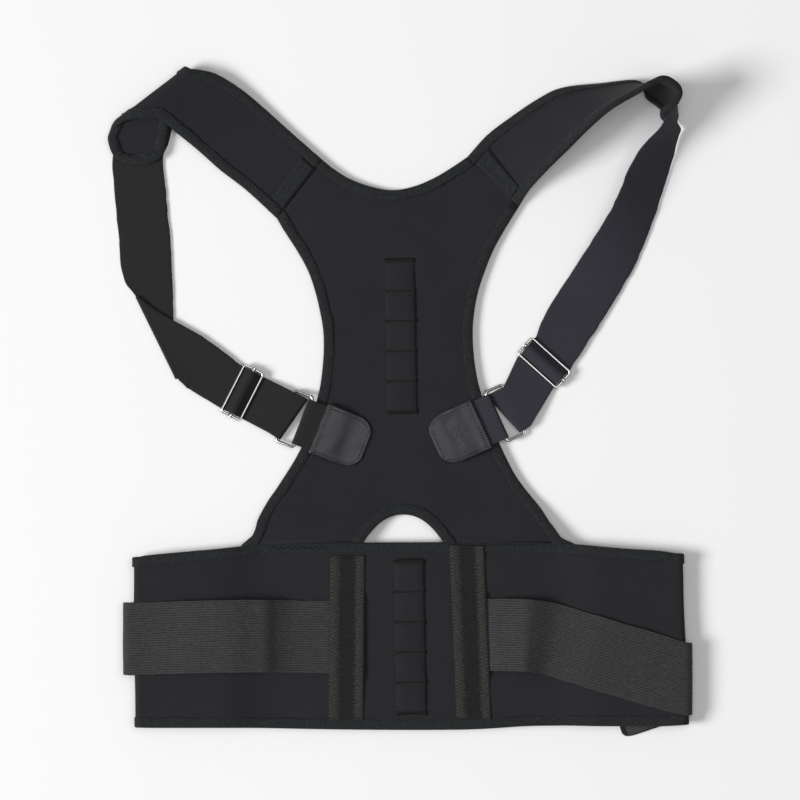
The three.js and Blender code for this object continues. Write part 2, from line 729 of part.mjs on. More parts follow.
// A pull strap: from under the stay tape over the belt with some slack, round its fold, and back to a hook
// tab under the belt
function makePullStrap(name, side, rows, fold) {
  const heading_out = (fall) => (side > 0 ? -fall : 180 + fall);
  const over = (x, drop, fall, arch) =>
    section(
      beltPoint(side * x, drop, foam_top(x) + elastic_thick / 2 + arch * elastic_arch),
      heading_out(fall) - 90,
      0,
      elastic_width,
    );
  const tape_edge = (stay_tape_spacing + stay_tape_width) / 2;
  const [first] = rows;
  const held = [tape_edge - elastic_tuck, tape_edge + 1].map((x) => over(x, first[1], first[2], 0));
  const run = rows.map(([along, drop, fall, arch]) => over(along * half_belt, drop, fall, arch));
  const crease = over(half_belt, fold.drop, 0, 0);
  const upper = [held[0], ...smooth([held[1], ...run, crease], 2)];
  const wrap = belt_fold_radius + foam_thick / 2 + clearance + elastic_thick / 2;
  const bend = turnBack(upper, -2 * wrap, 6);

  const back = heading(heading_out(fold.fall)).multiply(new THREE.Vector3(-1, 1, 1));
  const start = middle(bend[bend.length - 1]);
  const back_turn = THREE.MathUtils.radToDeg(Math.atan2(back.y, back.x));
  const under = (distance, level, width) => {
    const centre = start.clone().addScaledVector(back, distance).setZ(level);
    return section(centre, back_turn + 90, 0, width);
  };
  const level = tab_thick + clearance + elastic_thick / 2;
  const returned = [elastic_settle, elastic_return / 2, elastic_return - 4].map((distance) =>
    under(distance, level, elastic_width),
  );
  addPiece(name + "_elastic_strap", strap([...upper, ...bend, ...returned], elastic_thick), elastic);

  const tab = [
    [1, 1],
    [0.2, 1],
    [0.08, 0.92],
    [0, 0.7],
  ].map(([share, width]) => under(elastic_return - share * tab_length, tab_thick / 2, width * tab_width));
  addPiece(name + "_strap_hook_tab", strap(tab, tab_thick), hook_tape);
}

function makeStayTape(name, side, rows, lean) {
  const over_strap = elastic_thick + clearance;
  const over_binding = binding_half - foam_thick / 2;
  const x = (side * stay_tape_spacing) / 2;
  const strip = rows.map(([drop, strap_lift, binding_lift]) => {
    const lift = strap_lift * over_strap + binding_lift * over_binding;
    const shift = Math.tan(radians(-lean)) * (drop - 0.5) * belt_height;
    const centre = beltPoint(x + shift, drop, foam_top(x) + lift + stay_tape_thick / 2);
    return section(centre, 180 + lean, 0, stay_tape_width);
  });
  addPiece(name + "_stay_tape", strap(strip, stay_tape_thick), worn_tape);
}

// A strip sewn down between magnets, so that each one stands up as a square pocket
function makePockets(name, { across, up, lean }, level) {
  const columns = [0, 0.16, 0.84, 1];
  const length = pocket_pitch * pocket_count;
  const side = heading(-lean);
  const down = heading(-90 - lean);
  const centre = place(across, up, level);
  const seam = [0, 0];
  const lines = [seam, ...count(pocket_count).flatMap((i) => [[i + 0.2, 1], [i + 0.8, 1], [i + 1, 0]])];
  const rings = lines.map(([place_down, swell]) => {
    const line = centre.clone().addScaledVector(down, place_down * pocket_pitch - length / 2);
    const point = (share, height) =>
      line.clone().addScaledVector(side, (share - 0.5) * pocket_width).add(new THREE.Vector3(0, 0, height));
    const top = columns.map((share) => {
      const edge = share === 0 || share === 1;
      return point(share, pocket_edge_thick + (edge ? 0 : magnet_rise * swell));
    });
    const bottom = [...columns].reverse().map((share) => point(share, 0));
    return [...top, ...bottom];
  });
  addPiece(name, loft(rings), neoprene);
}

// A closed loop of round wire on a rounded rectangle, long along one direction and span across it
function wireLoop(centre, long, cross, length, span, corner, thick) {
  const facing = long.clone().cross(cross).normalize();
  const turns = 3;
  const sides = 8;
  const rings = [0, 1, 2, 3].flatMap((quarter) => {
    const reach_long = (length / 2 - corner) * (quarter === 0 || quarter === 3 ? 1 : -1);
    const reach_cross = (span / 2 - corner) * (quarter < 2 ? 1 : -1);
    return count(turns + 1).map((i) => {
      const angle = (Math.PI / 2) * (quarter + i / turns);
      const out = long.clone().multiplyScalar(Math.cos(angle)).addScaledVector(cross, Math.sin(angle));
      const spot = centre
        .clone()
        .addScaledVector(long, reach_long)
        .addScaledVector(cross, reach_cross)
        .addScaledVector(out, corner);
      return count(sides).map((k) => {
        const round = (2 * Math.PI * (k + 0.5)) / sides;
        return spot
          .clone()
          .addScaledVector(out, (thick / 2) * Math.cos(round))
          .addScaledVector(facing, (thick / 2) * Math.sin(round));
      });
    });
  });
  return loft(rings, true);
}

function rod(centre, direction, length, thick) {
  const geometry = new THREE.CylinderGeometry(thick / 2, thick / 2, length, 8);
  const turn = new THREE.Quaternion().setFromUnitVectors(new THREE.Vector3(0, 1, 0), direction);
  return geometry.applyQuaternion(turn).translate(centre.x, centre.y, centre.z);
}

// The slide's frame, its middle bar and the knuckles that hold the bar on the frame
function makeSlide(name, { slide: [across, up, turn] }) {
  const centre = place(across, up, frame_level);
  const [long, cross] = [heading(turn), heading(turn + 90)];
  const length = slide_inner + wire;
  const frame = solidOf(wireLoop(centre, long, cross, length, slide_width - wire, slide_corner, wire));
  const ends = [-1, 1].map((end) => centre.clone().addScaledVector(long, (end * length) / 2));
  const parts = [rod(centre, long, length, wire), ...ends.map((end) => rod(end, long, rivet_length, rivet))];
  const solid = parts.reduce((sum, piece) => sum.add(solidOf(piece)), frame);
  addPiece(name + "_slide", geometryOf(solid), nickel);
}

// Places on the line from a leather patch's straight edge out to its ring, at negative distances
function fittingLine({ patch: [across, up, turn] }) {
  const long = heading(turn);
  const inward = heading(turn + 90);
  const at = (distance, level) => place(across, up, level).addScaledVector(inward, distance);
  return { long, inward, at, across: (distance, level, width) => section(at(distance, level), turn, 0, width) };
}

function makeFitting(name, fitting) {
  const line = fittingLine(fitting);
  const patch = patch_rows.map(([along, width]) => {
    const distance = along * patch_length;
    const rise = 1 - smoothstep(distance, loop_tuck + 1, loop_tuck + 1 + patch_slope_length);
    return line.across(distance, lerp(patch_low, patch_high, rise), width * patch_width);
  });
  addPiece(name + "_leather_patch", strap(patch, patch_thick), leather);

  const lower = [
    [loop_tuck, loop_low],
    [edge_out - loop_tuck - 2, loop_low],
    [-rod_distance, loop_rod_level - loop_turn],
  ].map(([distance, level]) => line.across(distance, level, loop_width));
  const bend = turnBack(lower, 2 * loop_turn, 6);
  const upper = [
    [-rod_distance / 2, loop_high + loop_sink / 2],
    [-1, loop_high],
    [loop_tuck, loop_high],
  ].map(([distance, level]) => line.across(distance, level, loop_width));
  addPiece(name + "_ring_loop", strap([...lower, ...bend, ...upper], loop_thick), webbing);

  const near = line.at(-rod_distance, loop_rod_level);
  const far = line.at(-rod_distance - ring_span, rod_level);
  const cross = near.clone().sub(far);
  const centre = near.clone().add(far).multiplyScalar(0.5);
  const length = ring_inner + ring_wire;
  const span = cross.length();
  const ring = wireLoop(centre, line.long, cross.normalize(), length, span, ring_corner, ring_wire);
  addPiece(name + "_ring", ring, nickel);
  makeSlide(name, fitting);
}

// Shoulder webbing from the slide on: under, over and under the slide's bars, round the ring and back to be
// sewn round the middle bar
function threadedEnd(fitting) {
  const [across, up, turn] = fitting.slide;
  const travel = heading(turn + 90);
  const slide = (offset, height) =>
    section(place(across, up, frame_level + height).addScaledVector(travel, offset), turn, 0, threaded_width);
  const reach = (slide_width - wire) / 2;
  const over_turn = bar_turn + web_thick + 1.4 * clearance;
  const half = [
    ...[0, 22.5, 45].map((a) => [reach - bar_turn * Math.sin(radians(a)), -bar_turn * Math.cos(radians(a))]),
    ...[60, 30].map((a) => [over_turn * Math.sin(radians(a)), over_turn * Math.cos(radians(a))]),
  ];
  const run_off = [reach + wire, -bar_turn];
  const entry = slide(-run_off[0], run_off[1]);
  const through = [
    ...half.map(([offset, height]) => slide(-offset, height)),
    slide(0, over_turn),
    ...half.reverse().map(([offset, height]) => slide(offset, height)),
    slide(...run_off),
  ];

  const line = fittingLine(fitting);
  const strap_travel = heading(fitting.strap_turn + 90);
  const skew = Math.abs(line.inward.clone().cross(strap_travel).z);
  const slack = (threaded_width / 2) * skew + clearance;
  const ring = (distance, level) =>
    section(
      line.at(-rod_distance - ring_span, level).addScaledVector(strap_travel, distance),
      fitting.strap_turn,
      0,
      threaded_width,
    );
  const gate = -rod_turn - (threaded_width / 2) * skew;
  const out = [ring(gate, rod_level + rod_turn), ring(slack, rod_level + rod_turn)];
  const bend = turnBack(out, -2 * rod_turn, 6);
  const back = [
    ring(gate, strap_level),
    slide(reach, strap_level - frame_level),
    slide(0.6 * reach, strap_level - frame_level),
    slide(0.35 * reach, lerp(strap_level - frame_level, -bar_turn, 0.45)),
    slide(0.15 * reach, lerp(strap_level - frame_level, -bar_turn, 0.9)),
    ...[0, 36, 72, 108, 144, 180].map((a) => slide(-bar_turn * Math.sin(radians(a)), -bar_turn * Math.cos(radians(a)))),
  ];
  return { entry, rest: [...through, ...out, ...bend, ...back] };
}

function makeShoulderWebbing() {
  const left_end = threadedEnd(left_fitting);
  const under = smooth(sections(left_web_under, web_width, strap_level, strap_level), 2);
  const bend = turnBack(under, 2 * web_fold_radius, 5);
  const fold_level = strap_level + 2 * web_fold_radius;
  const over = sections(left_web_over, web_width, strap_level, fold_level);
  const crossed = smooth([bend[bend.length - 1], ...over, left_end.entry], 2).slice(1);
  const left = [...under, ...bend, ...crossed, ...left_end.rest];
  addPiece("left_shoulder_webbing", strap(left, web_thick), webbing);

  const right_end = threadedEnd(right_fitting);
  const standing = sections(right_web_rows, web_width, strap_level, strap_level + web_width);
  const right = [...smooth([...standing, right_end.entry], 3), ...right_end.rest];
  addPiece("right_shoulder_webbing", strap(right, web_thick), webbing);
}

makePanel();
makeArms();
makeBelt();
makePullStrap("left", -1, left_elastic_rows, left_elastic_fold);
makePullStrap("right", 1, right_elastic_rows, right_elastic_fold);
makeStayTape("left", -1, left_stay_rows, left_stay_lean);
makeStayTape("right", 1, right_stay_rows, right_stay_lean);
makePockets("upper_magnet_pockets", upper_pockets, panel_level + foam_thick / 2 + clearance);
makePockets("lower_magnet_pockets", lower_pockets, foam_top(0));
makeFitting("left", left_fitting);
makeFitting("right", right_fitting);
makeShoulderWebbing();

// The origin goes under the middle of the whole part, on the surface it lies on.
const bounds = new THREE.Box3().setFromObject(part);
const centre = bounds.getCenter(new THREE.Vector3());
part.position.set(-centre.x, -centre.y, -bounds.min.z);

export default part;
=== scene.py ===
"""A posture corrector lying on its front on a pale table, seen from straight above."""

import math

import bpy
import numpy as np
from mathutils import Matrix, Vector, noise
from mathutils.geometry import delaunay_2d_cdt


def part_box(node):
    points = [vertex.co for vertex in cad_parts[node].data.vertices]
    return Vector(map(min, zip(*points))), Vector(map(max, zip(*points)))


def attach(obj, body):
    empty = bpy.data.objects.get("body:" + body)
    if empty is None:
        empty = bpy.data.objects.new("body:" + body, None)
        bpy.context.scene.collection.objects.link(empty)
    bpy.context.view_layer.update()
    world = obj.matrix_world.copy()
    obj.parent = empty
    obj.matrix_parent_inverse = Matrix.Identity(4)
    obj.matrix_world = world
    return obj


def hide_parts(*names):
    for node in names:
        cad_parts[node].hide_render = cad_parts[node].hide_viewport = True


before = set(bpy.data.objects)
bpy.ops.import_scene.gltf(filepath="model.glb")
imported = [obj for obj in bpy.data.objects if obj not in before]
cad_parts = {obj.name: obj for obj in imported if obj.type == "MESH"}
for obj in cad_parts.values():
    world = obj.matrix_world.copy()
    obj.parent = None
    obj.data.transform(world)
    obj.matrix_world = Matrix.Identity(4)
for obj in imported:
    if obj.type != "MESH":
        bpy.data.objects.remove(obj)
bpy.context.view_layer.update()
bpy.ops.object.select_all(action="DESELECT")

# Sizes in millimetres; the main ones are those of the frame's solids
half_spread = 226
back_height = 275
clearance = 0.3
foam_thick = 3
tape_thick = 0.6
binding_width = 7
seam_inset = 1.3
stitch_pitch = 3.1
calm_height = 6  # a strip's waves fade out below this height
hem_rise_length = 42
moon_width = 64.5
moon_height = 22.6
moon_arch = 2.2  # power of the half-moon's arc
panel_grid = 5
panel_dent = 1.1  # depth of the soft dents in the panel's foam
panel_dent_size = 42
arm_width = 56
shoulder_fold_radius = 4.2
seam_tape_width = 12.5
seam_tape_length = 38
seam_tape_thick = 0.9
belt_length = 432
belt_height = 146
waist_length = 798
belt_fold_radius = 2.55
stay_tape_spacing = 97
stay_tape_width = 27
stay_tape_thick = 0.9
hook_pad_length = 50
hook_pad_width = 90
hook_pad_thick = 1.1
elastic_width = 56.5
elastic_thick = 1.2
elastic_return = 60
elastic_settle = 12
elastic_tuck = 9
elastic_arch = 9
tab_length = 46
tab_width = 59
tab_thick = 2.4
pocket_width = 23
pocket_pitch = 23.5
pocket_count = 5
pocket_edge_thick = 0.8
magnet_rise = 1.3
web_width = 40
web_thick = 1.4
web_fold_radius = 1.2
web_gather = 0.92  # share of its width that the webbing keeps inside the slide and ring
wire = 2.3
slide_play = 0.6
slide_width = 18.7
slide_corner = 2
rivet = 4.2
rivet_length = 2.8
ring_wire = 2.5
ring_play = 1.4
ring_span = 15
ring_corner = 2.4
loop_thick = 1
loop_length = 15
loop_tuck = 8
loop_sink = 0.9
patch_slope_length = 22
patch_length = 40
patch_width = 41.5
patch_thick = 1.4
patch_seam_inset = 3
fold_play = 1.2  # how far the webbing's slanted fold comes out to the side

grip = foam_thick / 2 + clearance
binding_half = grip + tape_thick
edge_out = clearance + tape_thick
panel_level = binding_half
strap_level = web_thick / 2
tongue_level = web_thick + clearance + binding_half
crest_level = tongue_level + 2 * shoulder_fold_radius
flap_low = binding_half
flap_high = tab_thick + clearance + elastic_thick + clearance + binding_half
flap_length = (waist_length - belt_length) / 2
half_belt = belt_length / 2 - belt_fold_radius - foam_thick / 2
belt_level = flap_low + 2 * belt_fold_radius
hem_gap = edge_out - clearance
seam_gap = 0.05
settle_length = 38
frame_level = strap_level + web_thick + clearance + web_thick / 2 + clearance + wire / 2
bar_turn = wire / 2 + clearance + web_thick / 2
rod_turn = ring_wire / 2 + clearance + web_thick / 2
rod_level = strap_level + rod_turn
loop_turn = ring_wire / 2 + clearance + loop_thick / 2
loop_low = panel_level + binding_half + clearance + loop_thick / 2
loop_high = loop_low + loop_thick + clearance
loop_rod_level = loop_low + loop_turn - loop_sink
patch_low = panel_level + foam_thick / 2 + clearance + patch_thick / 2
patch_high = loop_high + loop_thick / 2 + clearance + patch_thick / 2
threaded_width = web_width * web_gather
slide_inner = threaded_width + 2 * slide_play
ring_inner = threaded_width + 2 * ring_play
loop_width = ring_inner + ring_wire - 2 * ring_corner
rod_distance = loop_length - (ring_wire / 2 + clearance + loop_thick)

# Rows of a strip: across, up, turn, tilt, width, rise
left_arm_upper = [
    (-0.345, 1.003, 52, 0, 1.0, 0),
    (-0.454, 1.083, 55, 0, 0.99, 0.02),
    (-0.547, 1.147, 57, 0, 1.03, 0.1),
    (-0.623, 1.2, 56, 0, 1.01, 0.28),
    (-0.699, 1.244, 55, 0, 0.96, 0.55),
    (-0.756, 1.27, 47, 0, 0.88, 0.82),
    (-0.82, 1.271, 40, 0, 1.04, 1),
]
left_arm_landing = [(-0.8655, 1.241, 36, 0, 1.337, 0)]
left_arm_tongue = [
    (-0.888, 1.2, 27, 0, 1.04, 0),
    (-0.902, 1.161, 14, 0, 0.84, 0),
    (-0.902, 1.123, 9, 0, 0.74, 0),
    (-0.899, 1.097, 4, 0, 0.62, 0),
    (-0.897, 1.082, 3, 0, 0.42, 0),
    (-0.896, 1.076, 2, 0, 0.22, 0),
]
right_arm_rows = [
    (0.321, 1.024, -44, 0, 0.97, 0),
    (0.373, 1.078, -53, 7, 0.94, 0.059),
    (0.443, 1.13, -56, 22, 0.93, 0.179),
    (0.53, 1.187, -61, 35, 0.95, 0.277),
    (0.6, 1.227, -62, 47, 0.95, 0.348),
    (0.704, 1.261, -71, 67, 0.92, 0.416),
    (0.816, 1.288, -97, 80, 0.9, 0.427),
    (0.871, 1.287, -308, 74, 0.89, 0.42),
    (0.912, 1.27, -315, 69, 0.86, 0.4),
    (0.936, 1.245, -308, 72, 0.82, 0.385),
    (0.933, 1.222, -270, 80, 0.77, 0.371),
    (0.922, 1.208, -212, 73, 0.68, 0.354),
    (0.914, 1.197, -210, 72, 0.5, 0.35),
    (0.91, 1.192, -210, 72, 0.25, 0.348),
]
left_web_under = [
    (-0.87, 1.215, -3, 0, 1.02, 0),
    (-0.885, 1.146, -2, 0, 1.02, 0),
    (-0.905, 1.088, 1, 0, 0.99, 0),
    (-0.897, 1.001, 0, 0, 1.0, 0),
    (-0.89, 0.933, 2, 0, 1.0, 0),
    (-0.881, 0.862, 2, 0, 1.0, 0),
    (-0.875, 0.78, -5, 0, 1.0, 0),
    (-0.865, 0.7, -30, 0, 1.08, 0),
    (-0.854, 0.64, -52, 0, 1.38, 0),
    (-0.836, 0.584, -64, 0, 1.8, 0),
]
left_web_over = [
    (-0.804, 0.562, -71, 0, 1.47, 1),
    (-0.758, 0.539, -85, 0, 1.2, 0.97),
    (-0.718, 0.517, -100, 0, 1.08, 0.93),
    (-0.684, 0.499, -119, 0, 1.0, 0.85),
]
right_web_rows = [
    (0.953, 1.224, 116, 80, 0.98, 0.45),
    (0.942, 1.207, 129, 75, 0.98, 0.468),
    (0.939, 1.19, 144, 66, 0.98, 0.475),
    (0.927, 1.163, 158, 66, 0.99, 0.458),
    (0.884, 1.102, 161, 49, 1.0, 0.383),
    (0.847, 1.032, 156, 38, 1.0, 0.308),
    (0.803, 0.935, 151, 33, 1.0, 0.275),
    (0.737, 0.825, 151, 16, 1.0, 0.145),
    (0.649, 0.706, 147, 2, 1.0, 0.045),
    (0.575, 0.61, 140, 0, 1.0, 0.0425),
]
# Up, left edge, right edge
panel_rows = [
    (0, -0.545, 0.596),
    (0.01, -0.52, 0.561),
    (0.02, -0.506, 0.547),
    (0.04, -0.495, 0.53),
    (0.065, -0.487, 0.507),
    (0.094, -0.469, 0.485),
    (0.122, -0.449, 0.458),
    (0.15, -0.425, 0.43),
    (0.179, -0.402, 0.404),
    (0.207, -0.38, 0.383),
    (0.235, -0.359, 0.366),
    (0.275, -0.334, 0.343),
    (0.321, -0.315, 0.322),
    (0.377, -0.293, 0.296),
    (0.434, -0.274, 0.272),
    (0.491, -0.264, 0.257),
    (0.547, -0.259, 0.249),
    (0.604, -0.261, 0.247),
    (0.661, -0.273, 0.253),
    (0.718, -0.29, 0.267),
    (0.774, -0.314, 0.29),
    (0.831, -0.352, 0.318),
    (0.888, -0.397, 0.356),
]
left_root = {"outer": (-0.421, 0.922), "inner": (-0.269, 1.083)}
right_root = {"outer": (0.407, 0.956), "inner": (0.235, 1.092)}
neck_rows = [
    (0.173, 1.058),
    (0.114, 1.03),
    (0.045, 1.007),
    (-0.028, 0.997),
    (-0.104, 1.008),
    (-0.176, 1.03),
    (-0.231, 1.058),
]
moon_middle = 0.011
# Along half the belt, drop of its top edge, lift of its bottom edge
belt_rows = [
    (-1, 0.078, 0.024),
    (-0.96, 0.068, 0.023),
    (-0.81, 0.048, 0.023),
    (-0.7, 0.034, 0.023),
    (-0.6, 0.018, 0.022),
    (-0.52, 0.008, 0.02),
    (-0.2, 0.002, 0.012),
    (0.2, 0, 0.012),
    (0.42, 0, 0.03),
    (0.52, 0.002, 0.033),
    (0.6, 0.008, 0.034),
    (0.7, 0.02, 0.032),
    (0.81, 0.034, 0.032),
    (0.93, 0.045, 0.032),
    (1, 0.06, 0.038),
]
belt_middle = 0.0276
belt_lean = {"left": (2, 4), "right": (-2.3, 2)}
flap_rows = [
    (0.12, 0.075, 0.03),
    (0.34, 0.08, 0.04),
    (0.42, 0.082, 0.045),
    (0.5, 0.085, 0.05),
    (0.58, 0.088, 0.055),
    (0.93, 0.1, 0.08),
    (0.98, 0.13, 0.11),
    (1, 0.19, 0.17),
]
# Along half the belt, drop, turn, share of the arch
left_elastic_rows = [
    (0.36, 0.498, 0, 0.02),
    (0.41, 0.497, 0, 0.07),
    (0.45, 0.495, 0, 0.2),
    (0.49, 0.494, 0, 0.5),
    (0.53, 0.492, 0, 0.98),
    (0.58, 0.491, 0, 1),
    (0.66, 0.492, 0, 0.92),
    (0.78, 0.496, 0, 0.6),
    (0.9, 0.502, 0, 0.2),
    (0.97, 0.506, 0, 0.04),
]
right_elastic_rows = [
    (0.325, 0.486, 0, 0.3),
    (0.37, 0.486, 0, 0.6),
    (0.415, 0.486, 2, 0.9),
    (0.44, 0.488, 3, 0.96),
    (0.465, 0.491, 6, 0.78),
    (0.53, 0.511, 12, 0.24),
    (0.6, 0.542, 16, 0.12),
    (0.68, 0.577, 17, 0.1),
    (0.78, 0.621, 17, 0.1),
    (0.88, 0.664, 17, 0.05),
    (0.96, 0.7, 9, 0.02),
]
elastic_folds = {"left": (0.508, 0), "right": (0.722, 18.5)}
elastic_slack = {"left": 7.5, "right": 3}
# Drop, share of the rise over the elastic, share of the rise over the binding
left_stay_rows = [(0.064, 0, 0), (0.25, 0, 0), (0.3, 1, 0), (0.7, 1, 0), (0.75, 0, 0), (0.94, 0, 0)]
right_stay_rows = [
    (0.01, 0, 1),
    (0.055, 0, 1),
    (0.1, 0, 0),
    (0.24, 0, 0),
    (0.285, 1, 0),
    (0.69, 1, 0),
    (0.735, 0, 0),
    (0.935, 0, 0),
]
stay_leans = {"left": 0.7, "right": -2}
# Across, up, lean
upper_pockets = (0.002, 0.587, -1.1)
lower_pockets = (0.034, -0.265, -1.1)
# From, to and up in millimetres, swing to each side, number of points
hem_seams = [(-101, -57, -3.6, 1.3, 17), (36, 106, -1.4, 0.15, 23), (128, 134, -2.4, 1.6, 12)]
# Patch and slide: across, up, turn. One corner of the webbing's fold reaches over the ring, in millimetres.
fittings = {
    "left": {
        "patch": (-0.282, 0.326, -111.3),
        "slide": (-0.544, 0.427, -117),
        "strap_turn": -120.3,
        "corner": 0,
        "reach": 3.0,
    },
    "right": {
        "patch": (0.281, 0.339, 114.5),
        "slide": (0.497, 0.5105, 138),
        "strap_turn": 121.4,
        "corner": 1,
        "reach": 7.0,
    },
}
# Along the patch and its width there, as shares
patch_rows = [
    (0, 1),
    (0.12, 1),
    (0.22, 1),
    (0.3, 1),
    (0.38, 1),
    (0.46, 1),
    (0.7, 0.99),
    (0.84, 0.9),
    (0.94, 0.74),
    (1, 0.5),
]

belt_x = belt_middle * half_spread
# The frame's belt reaches from its left fold, with its top edge at height 0 of the tables.
belt_low, belt_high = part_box("waist_belt")
shift = np.array([belt_low[0] * 1000 - belt_x + belt_length / 2, belt_high[1] * 1000, 0.0])


# Materials


def linear(code):
    """An sRGB hex colour as Blender's linear colour."""
    parts = [int(code[i : i + 2], 16) / 255 for i in (1, 3, 5)]
    return tuple(c / 12.92 if c <= 0.04045 else ((c + 0.055) / 1.055) ** 2.4 for c in parts) + (1.0,)


def new_material(name):
    material = bpy.data.materials.new(name)
    material.use_nodes = True
    tree = material.node_tree
    return material, tree, tree.nodes["Principled BSDF"]


def node(tree, kind, inputs=(), output=0, **settings):
    """One node; its inputs are values or sockets, by place or name, and it gives one output socket."""
    made = tree.nodes.new("ShaderNode" + kind)
    for key, value in settings.items():
        setattr(made, key, value)
    for key, value in inputs.items() if isinstance(inputs, dict) else enumerate(inputs):
        if isinstance(value, bpy.types.NodeSocket):
            tree.links.new(value, made.inputs[key])
        else:
            made.inputs[key].default_value = value
    return made.outputs[output]


def strap_coordinates(tree):
    """Millimetres across and along a strap, from its own UV map."""
    uv = node(tree, "UVMap", uv_map="cloth")
    return [node(tree, "SeparateXYZ", (uv,), axis) for axis in (0, 1)]


def cloudy(tree, scale, detail=3.0, stretch=(1, 1, 1)):
    """Noise on Object coordinates, with features of about 1 / scale metres."""
    spot = node(tree, "TexCoord", output="Object")
    spot = node(tree, "Mapping", {"Vector": spot, "Scale": stretch})
    return node(tree, "TexNoise", {"Vector": spot, "Scale": scale, "Detail": detail, "Roughness": 0.55})


def ripple(tree, distance, pitch):
    """Rounded ridges, 0 in the grooves and 1 on top, one for each pitch."""
    turn = node(tree, "Math", (distance, math.pi / pitch), operation="MULTIPLY")
    wave = node(tree, "Math", (turn,), operation="SINE")
    return node(tree, "Math", (wave,), operation="ABSOLUTE")


def surface(tree, shader, colour, height, depth, strength):
    """A colour pattern and a relief whose depth is in metres."""
    bump = node(tree, "Bump", {"Strength": strength, "Distance": depth, "Height": height})
    tree.links.new(colour, shader.inputs["Base Color"])
    tree.links.new(bump, shader.inputs["Normal"])


def cloth_shader(shader, roughness=0.92, sheen=0.02):
    shader.inputs["Roughness"].default_value = roughness
    shader.inputs["Specular IOR Level"].default_value = 0.17
    shader.inputs["Sheen Weight"].default_value = sheen
    shader.inputs["Sheen Roughness"].default_value = 0.5


def jersey_on_foam():
    """Nylon jersey laminated on foam: a matt black with a fine knit, drawn 0.7 mm coarse to show."""
    material, tree, shader = new_material("neoprene_jersey")
    cloth_shader(shader)
    knit = cloudy(tree, 1400.0, 1.0, (1, 0.5, 1))
    cloud = cloudy(tree, 26.0)
    # The cloud mottles the foam's tone and paints soft shade into it: darkest where the same cloud sinks
    # the dents.
    base = node(tree, "Mix", {0: cloud, 6: linear("#141416"), 7: linear("#232327")}, 2, data_type="RGBA")
    colour = node(tree, "Mix", {0: knit, 6: base, 7: linear("#28282b")}, 2, data_type="RGBA")
    dents = node(tree, "Math", (cloud, 2.0), operation="MULTIPLY")
    surface(tree, shader, colour, node(tree, "Math", (knit, dents), operation="ADD"), 0.00035, 0.7)
    return material


def woven_binding():
    """Folded grosgrain tape: a little lighter than the foam, with fine cross ribs 1 mm apart."""
    material, tree, shader = new_material("edge_binding_tape")
    cloth_shader(shader, 0.88, 0.03)
    _, along = strap_coordinates(tree)
    ribs = ripple(tree, along, 1.0)
    worn = node(tree, "Math", (cloudy(tree, 520.0), 3.0), operation="POWER")
    # Rib tops are painted a little lighter than the grooves: painted highlight and shade on the ribs.
    base = node(tree, "Mix", {0: ribs, 6: linear("#131415"), 7: linear("#1e1f21")}, 2, data_type="RGBA")
    colour = node(tree, "Mix", {0: worn, 6: base, 7: linear("#3c4040")}, 2, data_type="RGBA")
    surface(tree, shader, colour, ribs, 0.00012, 0.6)
    return material


def ribbed_webbing(name, groove, top, pitch, relief):
    """Polypropylene webbing: ribs straight across, their tops catching the light."""
    material, tree, shader = new_material(name)
    cloth_shader(shader, 0.8)
    across, along = strap_coordinates(tree)
    ribs = ripple(tree, along, pitch)
    yarn = node(tree, "Math", (ripple(tree, across, 0.9), 0.25), operation="MULTIPLY")
    weave = node(tree, "Math", (ribs, yarn), operation="ADD")
    base = node(tree, "Mix", {0: ribs, 6: linear(groove), 7: linear(top)}, 2, data_type="RGBA")
    fuzz = node(tree, "Math", (cloudy(tree, 700.0), 0.45), operation="MULTIPLY")
    colour = node(tree, "Mix", {0: fuzz, 6: base, 7: linear("#2c2c30")}, 2, data_type="RGBA")
    surface(tree, shader, colour, weave, relief / 1000, 0.9)
    return material


def ribbed_elastic():
    """Woven elastic: soft cords 1.9 mm apart running lengthwise, greyer than the foam."""
    material, tree, shader = new_material("ribbed_elastic")
    cloth_shader(shader, 0.85, 0.03)
    across, _ = strap_coordinates(tree)
    ribs = ripple(tree, across, 1.9)
    yarn = cloudy(tree, 900.0, 2.0, (0.35, 1, 1))
    # Cord tops are painted lighter and the grooves darker: painted highlight and shade on the cords.
    base = node(tree, "Mix", {0: ribs, 6: linear("#19191a"), 7: linear("#353537")}, 2, data_type="RGBA")
    fuzz = node(tree, "Math", (yarn, 2.0), operation="POWER")
    fuzz = node(tree, "Math", (fuzz, 1.1), operation="MULTIPLY")
    colour = node(tree, "Mix", {0: fuzz, 6: base, 7: linear("#48484a")}, 2, data_type="RGBA")
    low_yarn = node(tree, "Math", (yarn, 0.9), operation="MULTIPLY")
    surface(tree, shader, colour, node(tree, "Math", (ribs, low_yarn), operation="ADD"), 0.0005, 1.0)
    return material


